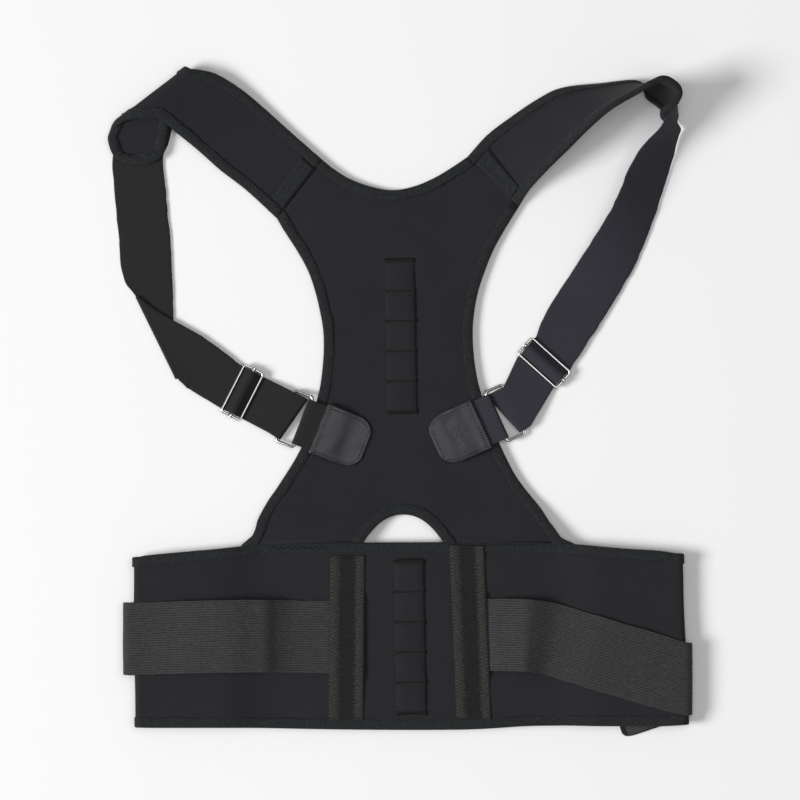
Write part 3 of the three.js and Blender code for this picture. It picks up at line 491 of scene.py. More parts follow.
def worn_stay_tape():
    """Cotton stay tape: dark middle, borders worn grey-green under the zigzag."""
    material, tree, shader = new_material("worn_stay_tape")
    cloth_shader(shader, 0.9)
    across, along = strap_coordinates(tree)
    from_middle = node(tree, "Math", (across, stay_tape_width / 2), operation="SUBTRACT")
    from_middle = node(tree, "Math", (from_middle,), operation="ABSOLUTE")
    ribs = ripple(tree, along, 1.15)
    wear = cloudy(tree, 700.0)
    fray = node(tree, "Math", (wear, 9.0), operation="MULTIPLY")
    fray = node(tree, "Math", (from_middle, fray), operation="ADD")
    border = node(tree, "Math", (fray, stay_tape_width / 2 - 2.8), operation="GREATER_THAN")
    rub = node(tree, "Math", (cloudy(tree, 900.0, 2.0, (1, 0.6, 1)), 1.5), operation="POWER")
    rub = node(tree, "Math", (ribs, rub), operation="MULTIPLY")
    rough = node(tree, "Math", (wear, 1.4), operation="POWER")
    centre = node(tree, "Mix", {0: rub, 6: linear("#131313"), 7: linear("#333333")}, 2, data_type="RGBA")
    edge = node(tree, "Mix", {0: rough, 6: linear("#101110"), 7: linear("#42443f")}, 2, data_type="RGBA")
    colour = node(tree, "Mix", {0: border, 6: centre, 7: edge}, 2, data_type="RGBA")
    surface(tree, shader, colour, ribs, 0.00025, 0.8)
    return material


def grained_leather():
    """Coated split leather: grain about 1 mm across with a soft shine."""
    material, tree, shader = new_material("grained_leather")
    shader.inputs["Roughness"].default_value = 0.38
    shader.inputs["Specular IOR Level"].default_value = 0.42
    spot = node(tree, "TexCoord", output="Object")
    grain = node(tree, "TexVoronoi", {"Vector": spot, "Scale": 900.0}, feature="SMOOTH_F1")
    cloud = cloudy(tree, 70.0)
    colour = node(tree, "Mix", {0: cloud, 6: linear("#131318"), 7: linear("#1f1f26")}, 2, data_type="RGBA")
    dents = node(tree, "Math", (cloud, 2.0), operation="MULTIPLY")
    surface(tree, shader, colour, node(tree, "Math", (grain, dents), operation="ADD"), 0.0003, 0.35)
    return material


def bright_nickel():
    """Nickel-plated steel wire: a bright mirror with a warm tint."""
    material, _, shader = new_material("bright_nickel")
    shader.inputs["Base Color"].default_value = linear("#c9c7c3")
    shader.inputs["Metallic"].default_value = 1.0
    shader.inputs["Roughness"].default_value = 0.2
    return material


def hook_and_loop():
    """Hook tape: a dense matt nap."""
    material, tree, shader = new_material("hook_and_loop_tape")
    cloth_shader(shader, 0.95, 0.04)
    nap = cloudy(tree, 1500.0, 2.0)
    colour = node(tree, "Mix", {0: nap, 6: linear("#161617"), 7: linear("#28282a")}, 2, data_type="RGBA")
    surface(tree, shader, colour, nap, 0.0006, 0.8)
    return material


def thread(name, colour):
    """Polyester sewing thread: a faint shine on each stitch."""
    material, _, shader = new_material(name)
    cloth_shader(shader, 0.6, 0.03)
    shader.inputs["Base Color"].default_value = linear(colour)
    return material


def worn_zigzag_thread():
    """Zigzag thread rubbed grey-green in places and still black in others."""
    material, tree, shader = new_material("worn_green_thread")
    cloth_shader(shader, 0.7)
    wear = node(tree, "Math", (cloudy(tree, 480.0), 1.5), operation="POWER")
    wear = node(tree, "Math", (wear, 1.6), operation="MULTIPLY")
    colour = node(tree, "Mix", {0: wear, 6: linear("#161716"), 7: linear("#545650")}, 2, data_type="RGBA")
    tree.links.new(colour, shader.inputs["Base Color"])
    return material


neoprene = jersey_on_foam()
edge_tape = woven_binding()
left_webbing = ribbed_webbing("left_ribbed_webbing", "#171718", "#222223", 1.5, 0.16)
# The right webbing is a lighter copy of the left one: the extra lightness is painted light on the standing
# strap.
lit_right_webbing = ribbed_webbing("right_ribbed_webbing_painted_light", "#212126", "#383841", 1.5, 0.36)
elastic = ribbed_elastic()
stay_tape = worn_stay_tape()
leather = grained_leather()
nickel = bright_nickel()
hook_tape = hook_and_loop()
black_thread = thread("black_thread", "#2a2b2d")
worn_thread = worn_zigzag_thread()
# Near-black: real thread in the hem seams, and painted groove shade in the wide pocket seam bars.
seam_thread_and_groove_shade = thread("seam_thread_and_groove_shade", "#09090b")
patch_thread = thread("patch_thread", "#101012")


# Strips: lists of sections, each a left and a right point, face up when the strip runs along them


def place(across, up, level):
    """A point from the tables' shares of the half spread and the back's height."""
    return np.array([across * half_spread, up * back_height, level], float)


def heading(turn):
    return np.array([math.cos(math.radians(turn)), math.sin(math.radians(turn)), 0.0])


def unit(v):
    return v / max(np.linalg.norm(v), 1e-9)


def section(centre, turn, tilt, width):
    """The two ends of a strip's cross line, turned on the table and tilted up from it."""
    side = heading(turn) * math.cos(math.radians(tilt)) + np.array([0, 0, math.sin(math.radians(tilt))])
    return centre - side * width / 2, centre + side * width / 2


def sections(rows, width, low, high):
    return [
        section(place(x, y, low + (high - low) * rise), turn, tilt, width * share)
        for x, y, turn, tilt, share, rise in rows
    ]


def curve_points(points, steps):
    """Points on a smooth curve through the given ones."""
    p = [2 * points[0] - points[1], *points, 2 * points[-1] - points[-2]]
    out = []
    for i in range(1, len(p) - 2):
        for k in range(steps):
            t = k / steps
            slope_a, slope_b = (p[i + 1] - p[i - 1]) / 2, (p[i + 2] - p[i]) / 2
            cube, square = t**3, t**2
            out.append(
                (2 * cube - 3 * square + 1) * p[i]
                + (cube - 2 * square + t) * slope_a
                + (3 * square - 2 * cube) * p[i + 1]
                + (cube - square) * slope_b
            )
    return out + [points[-1]]


def smooth(given, steps):
    edges = [curve_points([s[k] for s in given], steps) for k in (0, 1)]
    return list(zip(*edges))


def middle(s):
    return (s[0] + s[1]) / 2


def turn_back(strip, climb, steps, landing=None):
    """A round fold after the strip's last section, up or down by the climb, ending on the landing."""
    crease = strip[-1]
    end = landing or crease
    across = unit((crease[1] - crease[0]) * [1, 1, 0])
    out = np.array([-across[1], across[0], 0.0])
    if out @ (middle(crease) - middle(strip[-2])) < 0:
        out = -out
    made = []
    for i in range(1, steps + 1):
        share = i / steps
        angle = math.pi * share
        bulge = out * abs(climb) / 2 * math.sin(angle) + np.array([0, 0, climb / 2 * (1 - math.cos(angle))])
        made.append(tuple(crease[k] + (end[k] - crease[k]) * [1, 1, 0] * share + bulge for k in (0, 1)))
    return made


def normals(strip):
    last = len(strip) - 1
    return [
        unit(np.cross(s[1] - s[0], middle(strip[min(i + 1, last)]) - middle(strip[max(i - 1, 0)])))
        for i, s in enumerate(strip)
    ]


def travelled(strip):
    passed = [0.0]
    for a, b in zip(strip, strip[1:]):
        passed.append(passed[-1] + np.linalg.norm(middle(b) - middle(a)))
    return passed


def strip_area(strip):
    area = 0.0
    for a, b in zip(strip, strip[1:]):
        widths = np.linalg.norm(a[1] - a[0]) + np.linalg.norm(b[1] - b[0])
        area += widths / 2 * np.linalg.norm(middle(b) - middle(a))
    return area


stitch_lines = []
pocket_groove_shade_lines = []
up_z = np.array([0.0, 0.0, 1.0])


def add_piece(name, points, faces, finish, slot, replaced=(), cloth=None):
    """A mesh from points in the tables' millimetres; cloth holds its UV in millimetres, point by point."""
    mesh = bpy.data.meshes.new(name)
    mesh.from_pydata([tuple((p + shift) / 1000) for p in points], [], faces)
    if cloth is not None:
        layer = mesh.uv_layers.new(name="cloth")
        for loop in mesh.loops:
            layer.data[loop.index].uv = cloth[loop.vertex_index]
    mesh.materials.append(finish)
    mesh.validate()
    mesh.update()
    piece = bpy.data.objects.new(name, mesh)
    bpy.context.scene.collection.objects.link(piece)
    for polygon in mesh.polygons:
        polygon.use_smooth = True
    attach(piece, "root")
    if replaced:
        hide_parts(*replaced)
    return piece


def lofted(rings):
    """Faces round the rings and over both ends, turned outward."""
    size = len(rings[0])
    points = [p for ring in rings for p in ring]
    faces = []
    for here in range(0, len(points) - size, size):
        ahead = here + size
        for k in range(size):
            m = (k + 1) % size
            faces.append((here + k, here + m, ahead + m, ahead + k))
    volume = 0.0
    for face in faces:
        a, b, c, d = (points[k] for k in face)
        volume += float(a @ np.cross(b, c) + a @ np.cross(c, d))
    faces.append(tuple(reversed(range(size))))
    faces.append(tuple(range(len(points) - size, len(points))))
    if volume < 0:
        faces = [tuple(reversed(face)) for face in faces]
    return points, faces


def wavy(point, size, depth):
    """A gentle unevenness: waves of about this size and depth, the same at each run."""
    return noise.noise(Vector(point / size)) * depth


def strap(name, strip, thick, finish, slot, replaced, columns=8, wave=0.0, wave_size=18.0, edge_wave=0.0):
    """A strip with rounded selvedges and a slightly uneven surface."""
    round_off = thick / 2
    faces_up = normals(strip)
    passed = travelled(strip)
    rings, cloth = [], []
    for i, (left, right) in enumerate(strip):
        width = np.linalg.norm(right - left)
        near = [0, 0.3 * round_off, round_off]
        inner = [width * k / columns for k in range(1, columns)]
        marks = near + inner + [width - e for e in reversed(near)]
        half = []
        for mark in marks:
            inset = min(mark, width - mark, round_off) / round_off
            half.append((mark, 0.5 * thick * math.sqrt(max(1 - (1 - inset) ** 2, 0))))
        outline = half + [(mark, -h) for mark, h in reversed(half[1:-1])]
        side = unit(right - left)
        ring = []
        for mark, h in outline:
            base = left + side * mark
            calm = min(1, max(base[2] - thick / 2, 0) / calm_height)
            lift = wavy(base, wave_size, wave) * calm if wave else 0.0
            slip = wavy(base + 50, 7.0, edge_wave) if edge_wave else 0.0
            ring.append(base + faces_up[i] * (h + lift) + side * [1, 1, 0] * slip)
            cloth.append((mark, passed[i]))
        rings.append(ring)
    points, faces = lofted(rings)
    piece = add_piece(name, points, faces, finish, slot, replaced, cloth)
    piece["strip_area"] = strip_area(strip) / 1e6
    piece["strip_length"] = passed[-1] / 1000
    return piece


def edge_path(strip, edge, full_width=0.0):
    """Points, face directions and section lines along one edge, with the cloth on the path's left."""
    faces_up = normals(strip)
    path = []
    for s, up in zip(strip, faces_up):
        line = s[0] - s[1]
        length = np.linalg.norm(line)
        share = (length - 0.55 * full_width) / (0.17 * full_width) if full_width else 1.0
        share = min(max(share, 0), 1)
        square = 1 - share * share * (3 - 2 * share)
        path.append((s[1] if edge == "right" else s[0], up, line if edge == "right" else -line, square))
    return path if edge == "right" else path[::-1]


binding_profile = (
    [(binding_width, -binding_half), (binding_width * 0.5, -binding_half)]
    + [
        (-edge_out * math.sin(math.pi * k / 6), -binding_half * math.cos(math.pi * k / 6))
        for k in range(7)
    ]
    + [(binding_width * 0.5, binding_half + 0.05)]
    + [(binding_width - 0.3, binding_half), (binding_width, binding_half - 0.25)]
    + [(binding_width, grip), (-clearance, grip), (-clearance, -grip), (binding_width, -grip)]
)


def stay_put(base, up):
    return base, up


def binding(name, path, replaced, cuts=(None, None), settle=stay_put):
    """Folded tape over an edge; gives its stitch line too, near the inner edge of its upper lip."""
    last = len(path) - 1
    rings, cloth, seam, passed = [], [], [], 0.0
    for i, (point, up, line, square) in enumerate(path):
        ahead, behind = path[min(i + 1, last)][0], path[max(i - 1, 0)][0]
        passed += np.linalg.norm(point - path[max(i - 1, 0)][0])
        squared = unit(np.cross(up, ahead - behind))
        cut = cuts[0] if i == 0 else cuts[1] if i == last else None
        if cut is not None:
            inward = unit(cut)
        elif line is None:
            inward = squared
        else:
            inward = unit(unit(line) * (1 - square) + squared * square)
        slant = max(float(inward @ squared), 0.4)
        ring = []
        wander = 0.35 * math.sin(passed * 0.7) + 0.25 * math.sin(passed * 0.23)
        swell = 1 + 0.06 * math.sin(passed * 2 * math.pi / stitch_pitch)
        for x, y in binding_profile:
            inner = max(2 * x / binding_width - 1, 0)
            base, direction = settle(point + inward * (x + wander * inner) / slant, up)
            pucker = swell if x > 1 and y > 0 else 1
            ring.append(base + direction * y * pucker)
            cloth.append((x, passed))
        rings.append(ring)
        base, direction = settle(point + inward * (binding_width - seam_inset) / slant, up)
        seam.append((base + direction * binding_half, direction))
    points, faces = lofted(rings)
    return add_piece(name, points, faces, edge_tape, "edge_tape", replaced, cloth), seam


def along_line(points, pitch):
    """Places, directions and face directions at equal steps along a line of (point, face direction)."""
    lengths = [0.0]
    for a, b in zip(points, points[1:]):
        lengths.append(lengths[-1] + np.linalg.norm(b[0] - a[0]))
    places = []
    j = 0
    for k in range(int(lengths[-1] / pitch)):
        d = (k + 0.5) * pitch
        while lengths[j + 1] < d:
            j += 1
        share = (d - lengths[j]) / max(lengths[j + 1] - lengths[j], 1e-6)
        a, b = points[j], points[j + 1]
        places.append((a[0] + (b[0] - a[0]) * share, unit(b[0] - a[0]), a[1]))
    return places


def stitch(points, faces, centre, direction, up, length, width, height):
    """One sewn stitch: a low bar that dives into the cloth at both ends."""
    side = unit(np.cross(up, direction)) * width / 2
    start = len(points)
    for along, rise, wide in ((-0.5, -0.15, 0.7), (-0.3, 1, 1), (0.3, 1, 1), (0.5, -0.15, 0.7)):
        spot = centre + direction * length * along
        points += [
            spot - side * wide - up * 0.15,
            spot + side * wide - up * 0.15,
            spot + up * height * rise + side * wide * 0.4,
            spot + up * height * rise - side * wide * 0.4,
        ]
    for i in range(3):
        a = start + i * 4
        for k in range(4):
            m = (k + 1) % 4
            faces.append((a + k, a + m, a + 4 + m, a + 4 + k))
    faces.append((start + 3, start + 2, start + 1, start))
    faces.append((start + 12, start + 13, start + 14, start + 15))


def sew(name, lines, finish, slot, pitch, length, width, height):
    """Separate stitches at equal steps along each line."""
    points, faces = [], []
    for line in lines:
        for centre, direction, up in along_line(line, pitch):
            stitch(points, faces, centre, direction, up, length, width, height)
    return add_piece(name, points, faces, finish, slot)


def zigzag(line, reach, pitch):
    """A line that swings to both sides of the given one."""
    swung = []
    for k, (centre, direction, up) in enumerate(along_line(line, pitch)):
        side = unit(np.cross(up, direction))
        swung.append((centre + side * (reach if k % 2 else -reach), up))
    return swung


def bars(name, lines, finish, slot, width=0.55, height=0.3, overlap=1.0):
    """Thread laid from point to point of each line."""
    points, faces = [], []
    for line in lines:
        for a, b in zip(line, line[1:]):
            gap = b[0] - a[0]
            length = np.linalg.norm(gap) * overlap
            stitch(points, faces, (a[0] + b[0]) / 2, unit(gap), a[1], length, width, height)
    return add_piece(name, points, faces, finish, slot)


# Back panel


def ease(value, low, high):
    """A smooth rise from 0 at low to 1 at high."""
    share = min(max((value - low) / (high - low), 0), 1)
    return share * share * (3 - 2 * share)


def panel_height(y):
    """The panel lies flat and rises to the belt's top layer, where it is sewn on."""
    return belt_level + (panel_level - belt_level) * ease(y, 0, hem_rise_length)


def on_panel(base, _):
    """The same place on the rising panel, with the panel's own face direction."""
    fall = (panel_height(base[1] - 1) - panel_height(base[1] + 1)) / 2
    return np.array([base[0], base[1], panel_height(base[1])]), unit(np.array([0, fall, 1.0]))


def root_point(root):
    return place(root[0], root[1], panel_level)


def hem_line(x):
    """The panel's hem follows the belt's own top edge."""
    shares, drops, _ = zip(*belt_rows)
    return hem_gap - float(np.interp((x - belt_x) / half_belt, shares, drops)) * belt_height


def panel_edges():
    edges = {"left": [], "right": []}
    for up, left, right in panel_rows:
        for side, share in (("left", left), ("right", right)):
            x = share * half_spread
            y = up * back_height if up else hem_line(x)
            edges[side].append(np.array([x, y, panel_height(y)]))
    edges["left"].append(root_point(left_root["outer"]))
    edges["right"].append(root_point(right_root["outer"]))
    return {side: curve_points(points, 3) for side, points in edges.items()}


def moon_points(steps):
    points = []
    for i in range(steps + 1):
        angle = math.pi * (1 - i / steps)
        across = math.cos(angle)
        x = moon_middle * half_spread + moon_width / 2 * across
        y = hem_gap + moon_height * (1 - abs(across) ** moon_arch)
        points.append(np.array([x, y, panel_height(y)]))
    return points


def sheet_from_outline(outline, grid, level):
    """Points and triangles filling a flat outline, with inner points on a grid, lifted to the level."""
    inside = [Vector(p[:2]) for p in outline]
    low = np.min([p[:2] for p in outline], axis=0)
    high = np.max([p[:2] for p in outline], axis=0)
    edge_count = len(inside)
    for j in range(1, int((high[1] - low[1]) / grid) + 1):
        for i in range(1, int((high[0] - low[0]) / grid) + 1):
            inside.append(Vector((low[0] + (i + 0.5 * (j % 2)) * grid, low[1] + j * grid)))
    edges = [(i, (i + 1) % edge_count) for i in range(edge_count)]
    flat, _, triangles, *_ = delaunay_2d_cdt(inside, edges, [list(range(edge_count))], 1, 0.01)
    points = []
    for p in flat:
        q = np.array([p[0], p[1], level(p[1])])
        q[2] += wavy(q, panel_dent_size, panel_dent)
        points.append(q)
    used = sorted({k for t in triangles for k in t})
    index = {k: n for n, k in enumerate(used)}
    return [points[k] for k in used], [tuple(index[k] for k in t) for t in triangles]


def crossed(points, face):
    a, b, c = (points[k] for k in face)
    return np.cross(b - a, c - a)


def thickened(points, faces, thick):
    """A closed sheet: the same surface above and below, joined round its rim."""
    n = len(points)
    top = [p + up_z * thick / 2 for p in points]
    bottom = [p - up_z * thick / 2 for p in points]
    faces = [f if crossed(points, f)[2] > 0 else f[::-1] for f in faces]
    used = {(f[k], f[(k + 1) % 3]) for f in faces for k in range(3)}
    rim = [(a, b) for a, b in used if (b, a) not in used]
    walls = [(b, a, a + n, b + n) for a, b in rim]
    return top + bottom, list(faces) + [tuple(k + n for k in f[::-1]) for f in faces] + walls


def flat_path(line):
    return [(p, up_z, None, 1.0) for p in line]


def make_back_panel():
    edges = panel_edges()
    neck = curve_points([root_point(p) for p in [right_root["inner"], *neck_rows, left_root["inner"]]], 6)
    moon = moon_points(40)
    outline = edges["right"] + neck + edges["left"][::-1] + moon
    points, faces = sheet_from_outline(outline, panel_grid, panel_height)
    area = sum(np.linalg.norm(crossed(points, f)) / 2 for f in faces)
    solid = thickened(points, faces, foam_thick)
    body = add_piece("panel_foam", *solid, neoprene, "neoprene", ["back_panel"])

    left_seam = root_point(left_root["inner"]) - root_point(left_root["outer"])
    right_seam = root_point(right_root["inner"]) - root_point(right_root["outer"])
    trims = [
        ("left_side_tape", flat_path(edges["left"][::-1]), "left_side_binding", (left_seam, None)),
        ("right_side_tape", flat_path(edges["right"]), "right_side_binding", (None, right_seam)),
        ("neckline_tape", flat_path(neck), "neckline_binding", (-right_seam, -left_seam)),
        ("half_moon_tape", flat_path(moon), "half_moon_binding", (heading(180), heading(0))),
    ]
    for name, path, replaced, cuts in trims:
        tape, seam = binding(name, path, [replaced], cuts, on_panel)
        stitch_lines.append(seam)
    low, high = np.min(points, axis=0), np.max(points, axis=0)


# Shoulder arms


def root_section(root, sign):
    """The arm's first section, along its seam on the panel."""
    outer, inner = root_point(root["outer"]), root_point(root["inner"])
    along = unit(inner - outer)
    off = np.array([-along[1], along[0], 0]) * sign * seam_gap
    return (outer + off, inner + off) if sign > 0 else (inner + off, outer + off)


def arm_strips():
    rows = sections(left_arm_upper, arm_width, panel_level, crest_level)
    rows[0] = root_section(left_root, 1)
    upper = smooth(rows, 8)
    landing = sections(left_arm_landing, arm_width, tongue_level, tongue_level)[0]
    bend = turn_back(upper, tongue_level - crest_level, 14, landing)
    tongue = smooth([bend[-1], *sections(left_arm_tongue, arm_width, tongue_level, crest_level)], 5)
    rows = sections(right_arm_rows, arm_width, panel_level, panel_level + arm_width)
    rows[0] = root_section(right_root, -1)
    return {"left": upper + bend + tongue[1:], "right": smooth(rows, 8)}


def make_arms():
    for side, strip in arm_strips().items():
        solid = [f"{side}_shoulder_arm"]
        foam = strap(
            f"{side}_arm_foam", strip, foam_thick, neoprene, "neoprene", solid, 12, wave=0.6, wave_size=26.0
        )
        seam = strip[0][0] - strip[0][1]
        path = edge_path(strip, "right", arm_width) + edge_path(strip, "left", arm_width)
        tape, line = binding(f"{side}_arm_tape", path, [f"{side}_arm_binding"], (seam, -seam))
        stitch_lines.append(line)

        passed, faces_up = travelled(strip), normals(strip)
        start = edge_out + clearance
        ends = [start, start + seam_tape_width]
        lift = foam_thick / 2 + 2 * clearance + seam_tape_thick / 2
        covered = []
        for at in np.linspace(ends[0], ends[1], 7):
            i = max(k for k, d in enumerate(passed) if d <= at)
            share = (at - passed[i]) / (passed[i + 1] - passed[i])
            s = [strip[i][k] + (strip[i + 1][k] - strip[i][k]) * share for k in (0, 1)]
            across = unit(s[1] - s[0])
            centre = middle(s) + faces_up[i] * lift
            covered.append((centre - across * seam_tape_length / 2, centre + across * seam_tape_length / 2))
        seam_tape = strap(
            f"{side}_shoulder_seam_tape",
            covered,
            seam_tape_thick,
            edge_tape,
            "hook_tape",
            [f"{side}_seam_tape"],
            16,
            wave=0.3,
            wave_size=4.0,
        )
        for edge in (1, len(covered) - 2):
            a, b = covered[edge]
            top = seam_tape_thick / 2 * faces_up[0]
            stitch_lines.append([(a + top, faces_up[0]), (b + top, faces_up[0])])


# Waist belt


def tab_rise(distance):
    """1 where the flap lies over a hook tab, 0 where it lies on the table."""
    return 1 - ease(distance, elastic_return + 3, elastic_return + 3 + settle_length)


def flap_level(distance):
    return flap_low + (flap_high - flap_low) * tab_rise(distance)


def belt_surface(x):
    return flap_level(half_belt - abs(x)) + 2 * belt_fold_radius


def belt_point(x, drop, level):
    """The belt's ends lean: its left end comes in, its right end goes out toward the bottom."""
    lean = belt_lean["right" if x > 0 else "left"]
    slid = (lean[0] + (lean[1] - lean[0]) * drop) * abs(x) / half_belt
    return np.array([belt_x + x + slid, -drop * belt_height, level])


def foam_top(x):
    return belt_surface(x) + foam_thick / 2 + clearance


def belt_strip():
    columns = [np.array(row, float) for row in belt_rows]
    upper = []
    for along, drop, lift in curve_points(columns, 4):
        x = along * half_belt
        upper.append((belt_point(x, drop, belt_surface(x)), belt_point(x, 1 - lift, belt_surface(x))))

    def flap(side):
        made = []
        for along, drop, lift in flap_rows:
            level = flap_level(along * flap_length)
            x = side * (half_belt - along * flap_length)
            made.append((belt_point(x, drop, level), belt_point(x, 1 - lift, level)))
        return made

    right_fold = turn_back(upper, -2 * belt_fold_radius, 10)
    left_fold = turn_back(upper[::-1], -2 * belt_fold_radius, 10)
    return flap(-1)[::-1] + left_fold[::-1] + upper + right_fold + flap(1)


def make_belt():
    strip = belt_strip()
    body = strap(
        "belt_foam", strip, foam_thick, neoprene, "neoprene", ["waist_belt"], 28, wave=0.9, wave_size=30.0
    )
    for edge, name in (("left", "top"), ("right", "bottom")):
        tape, line = binding(f"belt_{name}_tape", edge_path(strip, edge), [f"belt_{name}_binding"])
        stitch_lines.append(line)
    pad_end = half_belt - 0.96 * flap_length
    pad_level = flap_low + foam_thick / 2 + clearance + hook_pad_thick / 2
    pad = [
        tuple(belt_point(-x, 0.5, pad_level) + np.array([0, s * hook_pad_width / 2, 0]) for s in (1, -1))
        for x in np.linspace(pad_end, pad_end + hook_pad_length, 4)
    ]
    hook_pad = strap("belt_closure_pad", pad, hook_pad_thick, hook_tape, "hook_tape", ["belt_hook_pad"], 4)


def make_pull_strap(side, rows):
    sign = -1 if side == "left" else 1
    drop_end, fall_end = elastic_folds[side]

    def out_turn(fall):
        return -fall if sign > 0 else 180 + fall

    def over(x, drop, fall, arch):
        level = foam_top(x) + elastic_thick / 2 + arch * elastic_arch
        return section(belt_point(sign * x, drop, level), out_turn(fall) - 90, 0, elastic_width)

    tape_edge = (stay_tape_spacing + stay_tape_width) / 2
    first = rows[0]
    held = [over(x, first[1], first[2], 0) for x in (tape_edge - elastic_tuck, tape_edge + 1)]
    run = [over(x * half_belt, drop, fall, arch) for x, drop, fall, arch in rows]
    crease = over(half_belt + elastic_slack[side], drop_end, 0, 0)
    upper = [held[0]] + smooth([held[1], *run, crease], 6)
    wrap = belt_fold_radius + foam_thick / 2 + clearance + elastic_thick / 2
    bend = turn_back(upper, -2 * wrap, 10)
    back = heading(out_turn(fall_end)) * [-1, 1, 1]
    start = middle(bend[-1])
    back_turn = math.degrees(math.atan2(back[1], back[0]))

    def under(distance, level, width):
        centre = start + back * distance
        centre[2] = level
        return section(centre, back_turn + 90, 0, width)

    level = tab_thick + clearance + elastic_thick / 2
    distances = (elastic_settle, elastic_return / 2, elastic_return - 4)
    band = strap(
        f"{side}_pull_elastic",
        upper + bend + [under(d, level, elastic_width) for d in distances],
        elastic_thick,
        elastic,
        "elastic",
        [f"{side}_elastic_strap"],
        20,
        wave=0.35,
        wave_size=22.0,
        edge_wave=0.5,
    )
    tab_rows = [(1, 1), (0.6, 1), (0.2, 1), (0.1, 0.99), (0.04, 0.95), (0, 0.86)]
    tab = [under(elastic_return - s * tab_length, tab_thick / 2, w * tab_width) for s, w in tab_rows]
    hook = strap(f"{side}_pull_tab", tab, tab_thick, hook_tape, "hook_tape", [f"{side}_strap_hook_tab"], 6)


def make_stay_tape(side, rows):
    sign = -1 if side == "left" else 1
    lean = stay_leans[side]
    over_strap = elastic_thick + clearance
    over_binding = binding_half - foam_thick / 2
    x = sign * stay_tape_spacing / 2
    fine = []
    rows = [np.array(row, float) for row in rows]
    for a, b in zip(rows, rows[1:]):
        fine += [a + (b - a) * k / 6 for k in range(6)]
    fine.append(rows[-1])
    strip = []
    for drop, strap_lift, binding_lift in fine:
        lift = strap_lift * over_strap + binding_lift * over_binding
        lean_shift = math.tan(math.radians(-lean)) * (drop - 0.5) * belt_height
        centre = belt_point(x + lean_shift, drop, foam_top(x) + lift + stay_tape_thick / 2)
        strip.append(section(centre, 180 + lean, 0, stay_tape_width))
    tape = strap(
        f"{side}_sewn_stay_tape",
        strip,
        stay_tape_thick,
        stay_tape,
        "stay_tape",
        [f"{side}_stay_tape"],
        18,
        wave=0.15,
        wave_size=9.0,
    )
    borders = []
    for share in (0.125, 0.875):
        line = []
        for s, up in zip(strip, normals(strip)):
            line.append((s[0] + (s[1] - s[0]) * share + up * stay_tape_thick / 2, up))
        borders.append(zigzag(line, 2.7, 1.35))
    sewn = bars(f"{side}_stay_zigzag", borders, worn_thread, "stay_tape")


def swelling(share, flatness):
    """0 at both ends of the share and 1 in its middle, flatter for a higher number."""
    return 1 - abs(2 * share - 1) ** flatness


def make_pockets(name, row, level, replaced):
    """A strip sewn down between magnets, which stand up as soft squares."""
    across, up, lean = row
    length = pocket_pitch * pocket_count
    side, down = heading(-lean), heading(-90 - lean)
    centre = place(across, up, level)
    steps = 8
    marks = [0, 0.03, 0.08, 0.14, 0.2, 0.3, 0.4, 0.5, 0.6, 0.7, 0.8, 0.86, 0.92, 0.97, 1]
    rings, cloth = [], []
    for k in range(pocket_count * steps + 1):
        within = (k % steps) / steps
        line = centre + down * (k / steps * pocket_pitch - length / 2)
        rise = swelling(within, 5) if k % steps else 0.0
        edge = pocket_edge_thick * (0.4 + 0.6 * rise)
        top = []
        for mark in marks:
            height = edge + (magnet_rise + 0.3) * rise * swelling(mark, 3.5)
            top.append(line + side * (mark - 0.5) * pocket_width + up_z * height)
        rings.append(top + [line + side * 0.5 * pocket_width, line - side * 0.5 * pocket_width])
        cloth += [(mark * pocket_width, k / steps * pocket_pitch) for mark in [*marks, 1, 0]]
    points, faces = lofted(rings)
    piece = add_piece(name, points, faces, neoprene, "neoprene", [replaced], cloth)
    # The pocket seams become wide dark bars: their stitches with the shade of each groove between magnets
    # painted over them.
    rim = up_z * pocket_edge_thick * 0.6
    for k in range(pocket_count + 1):
        line = centre + down * (k * pocket_pitch - length / 2) + rim
        sag = 1.1 * math.sin(2.4 * k + across * 50)
        seam = []
        for x in np.linspace(-0.49, 0.5, 8):
            seam.append((line + side * x * pocket_width + down * sag * (4 * x * x - 0.5), up_z))
        pocket_groove_shade_lines.append(seam)


# Fittings


def fitting_line(fitting):
    across, up, turn = fitting["patch"]
    inward = heading(turn + 90)

    def at(distance, level):
        return place(across, up, level) + inward * distance

    def strip_across(distance, level, width):
        return section(at(distance, level), turn, 0, width)

    return heading(turn), inward, at, strip_across


def wire_loop(name, centre, long, cross, length, span, corner, thick):
    """A ring of bent wire: a plane with rounded corners, its rim swept with a round section."""
    bpy.ops.mesh.primitive_plane_add(size=1)
    ring = bpy.context.object
    ring.name = name
    for vertex in ring.data.vertices:
        x, y = vertex.co.x * length, vertex.co.y * span
        vertex.co = Vector((centre + long * x + cross * y + shift) / 1000)
    bpy.ops.object.mode_set(mode="EDIT")
    bpy.ops.mesh.select_all(action="SELECT")
    bpy.ops.mesh.bevel(offset=corner / 1000, segments=6, affect="VERTICES", clamp_overlap=False)
    bpy.ops.mesh.delete(type="ONLY_FACE")
    bpy.ops.object.mode_set(mode="OBJECT")
    bpy.ops.object.convert(target="CURVE")
    ring = bpy.context.object
    ring.data.bevel_depth = thick / 2000
    ring.data.bevel_resolution = 4
    bpy.ops.object.convert(target="MESH")
    return bpy.context.object


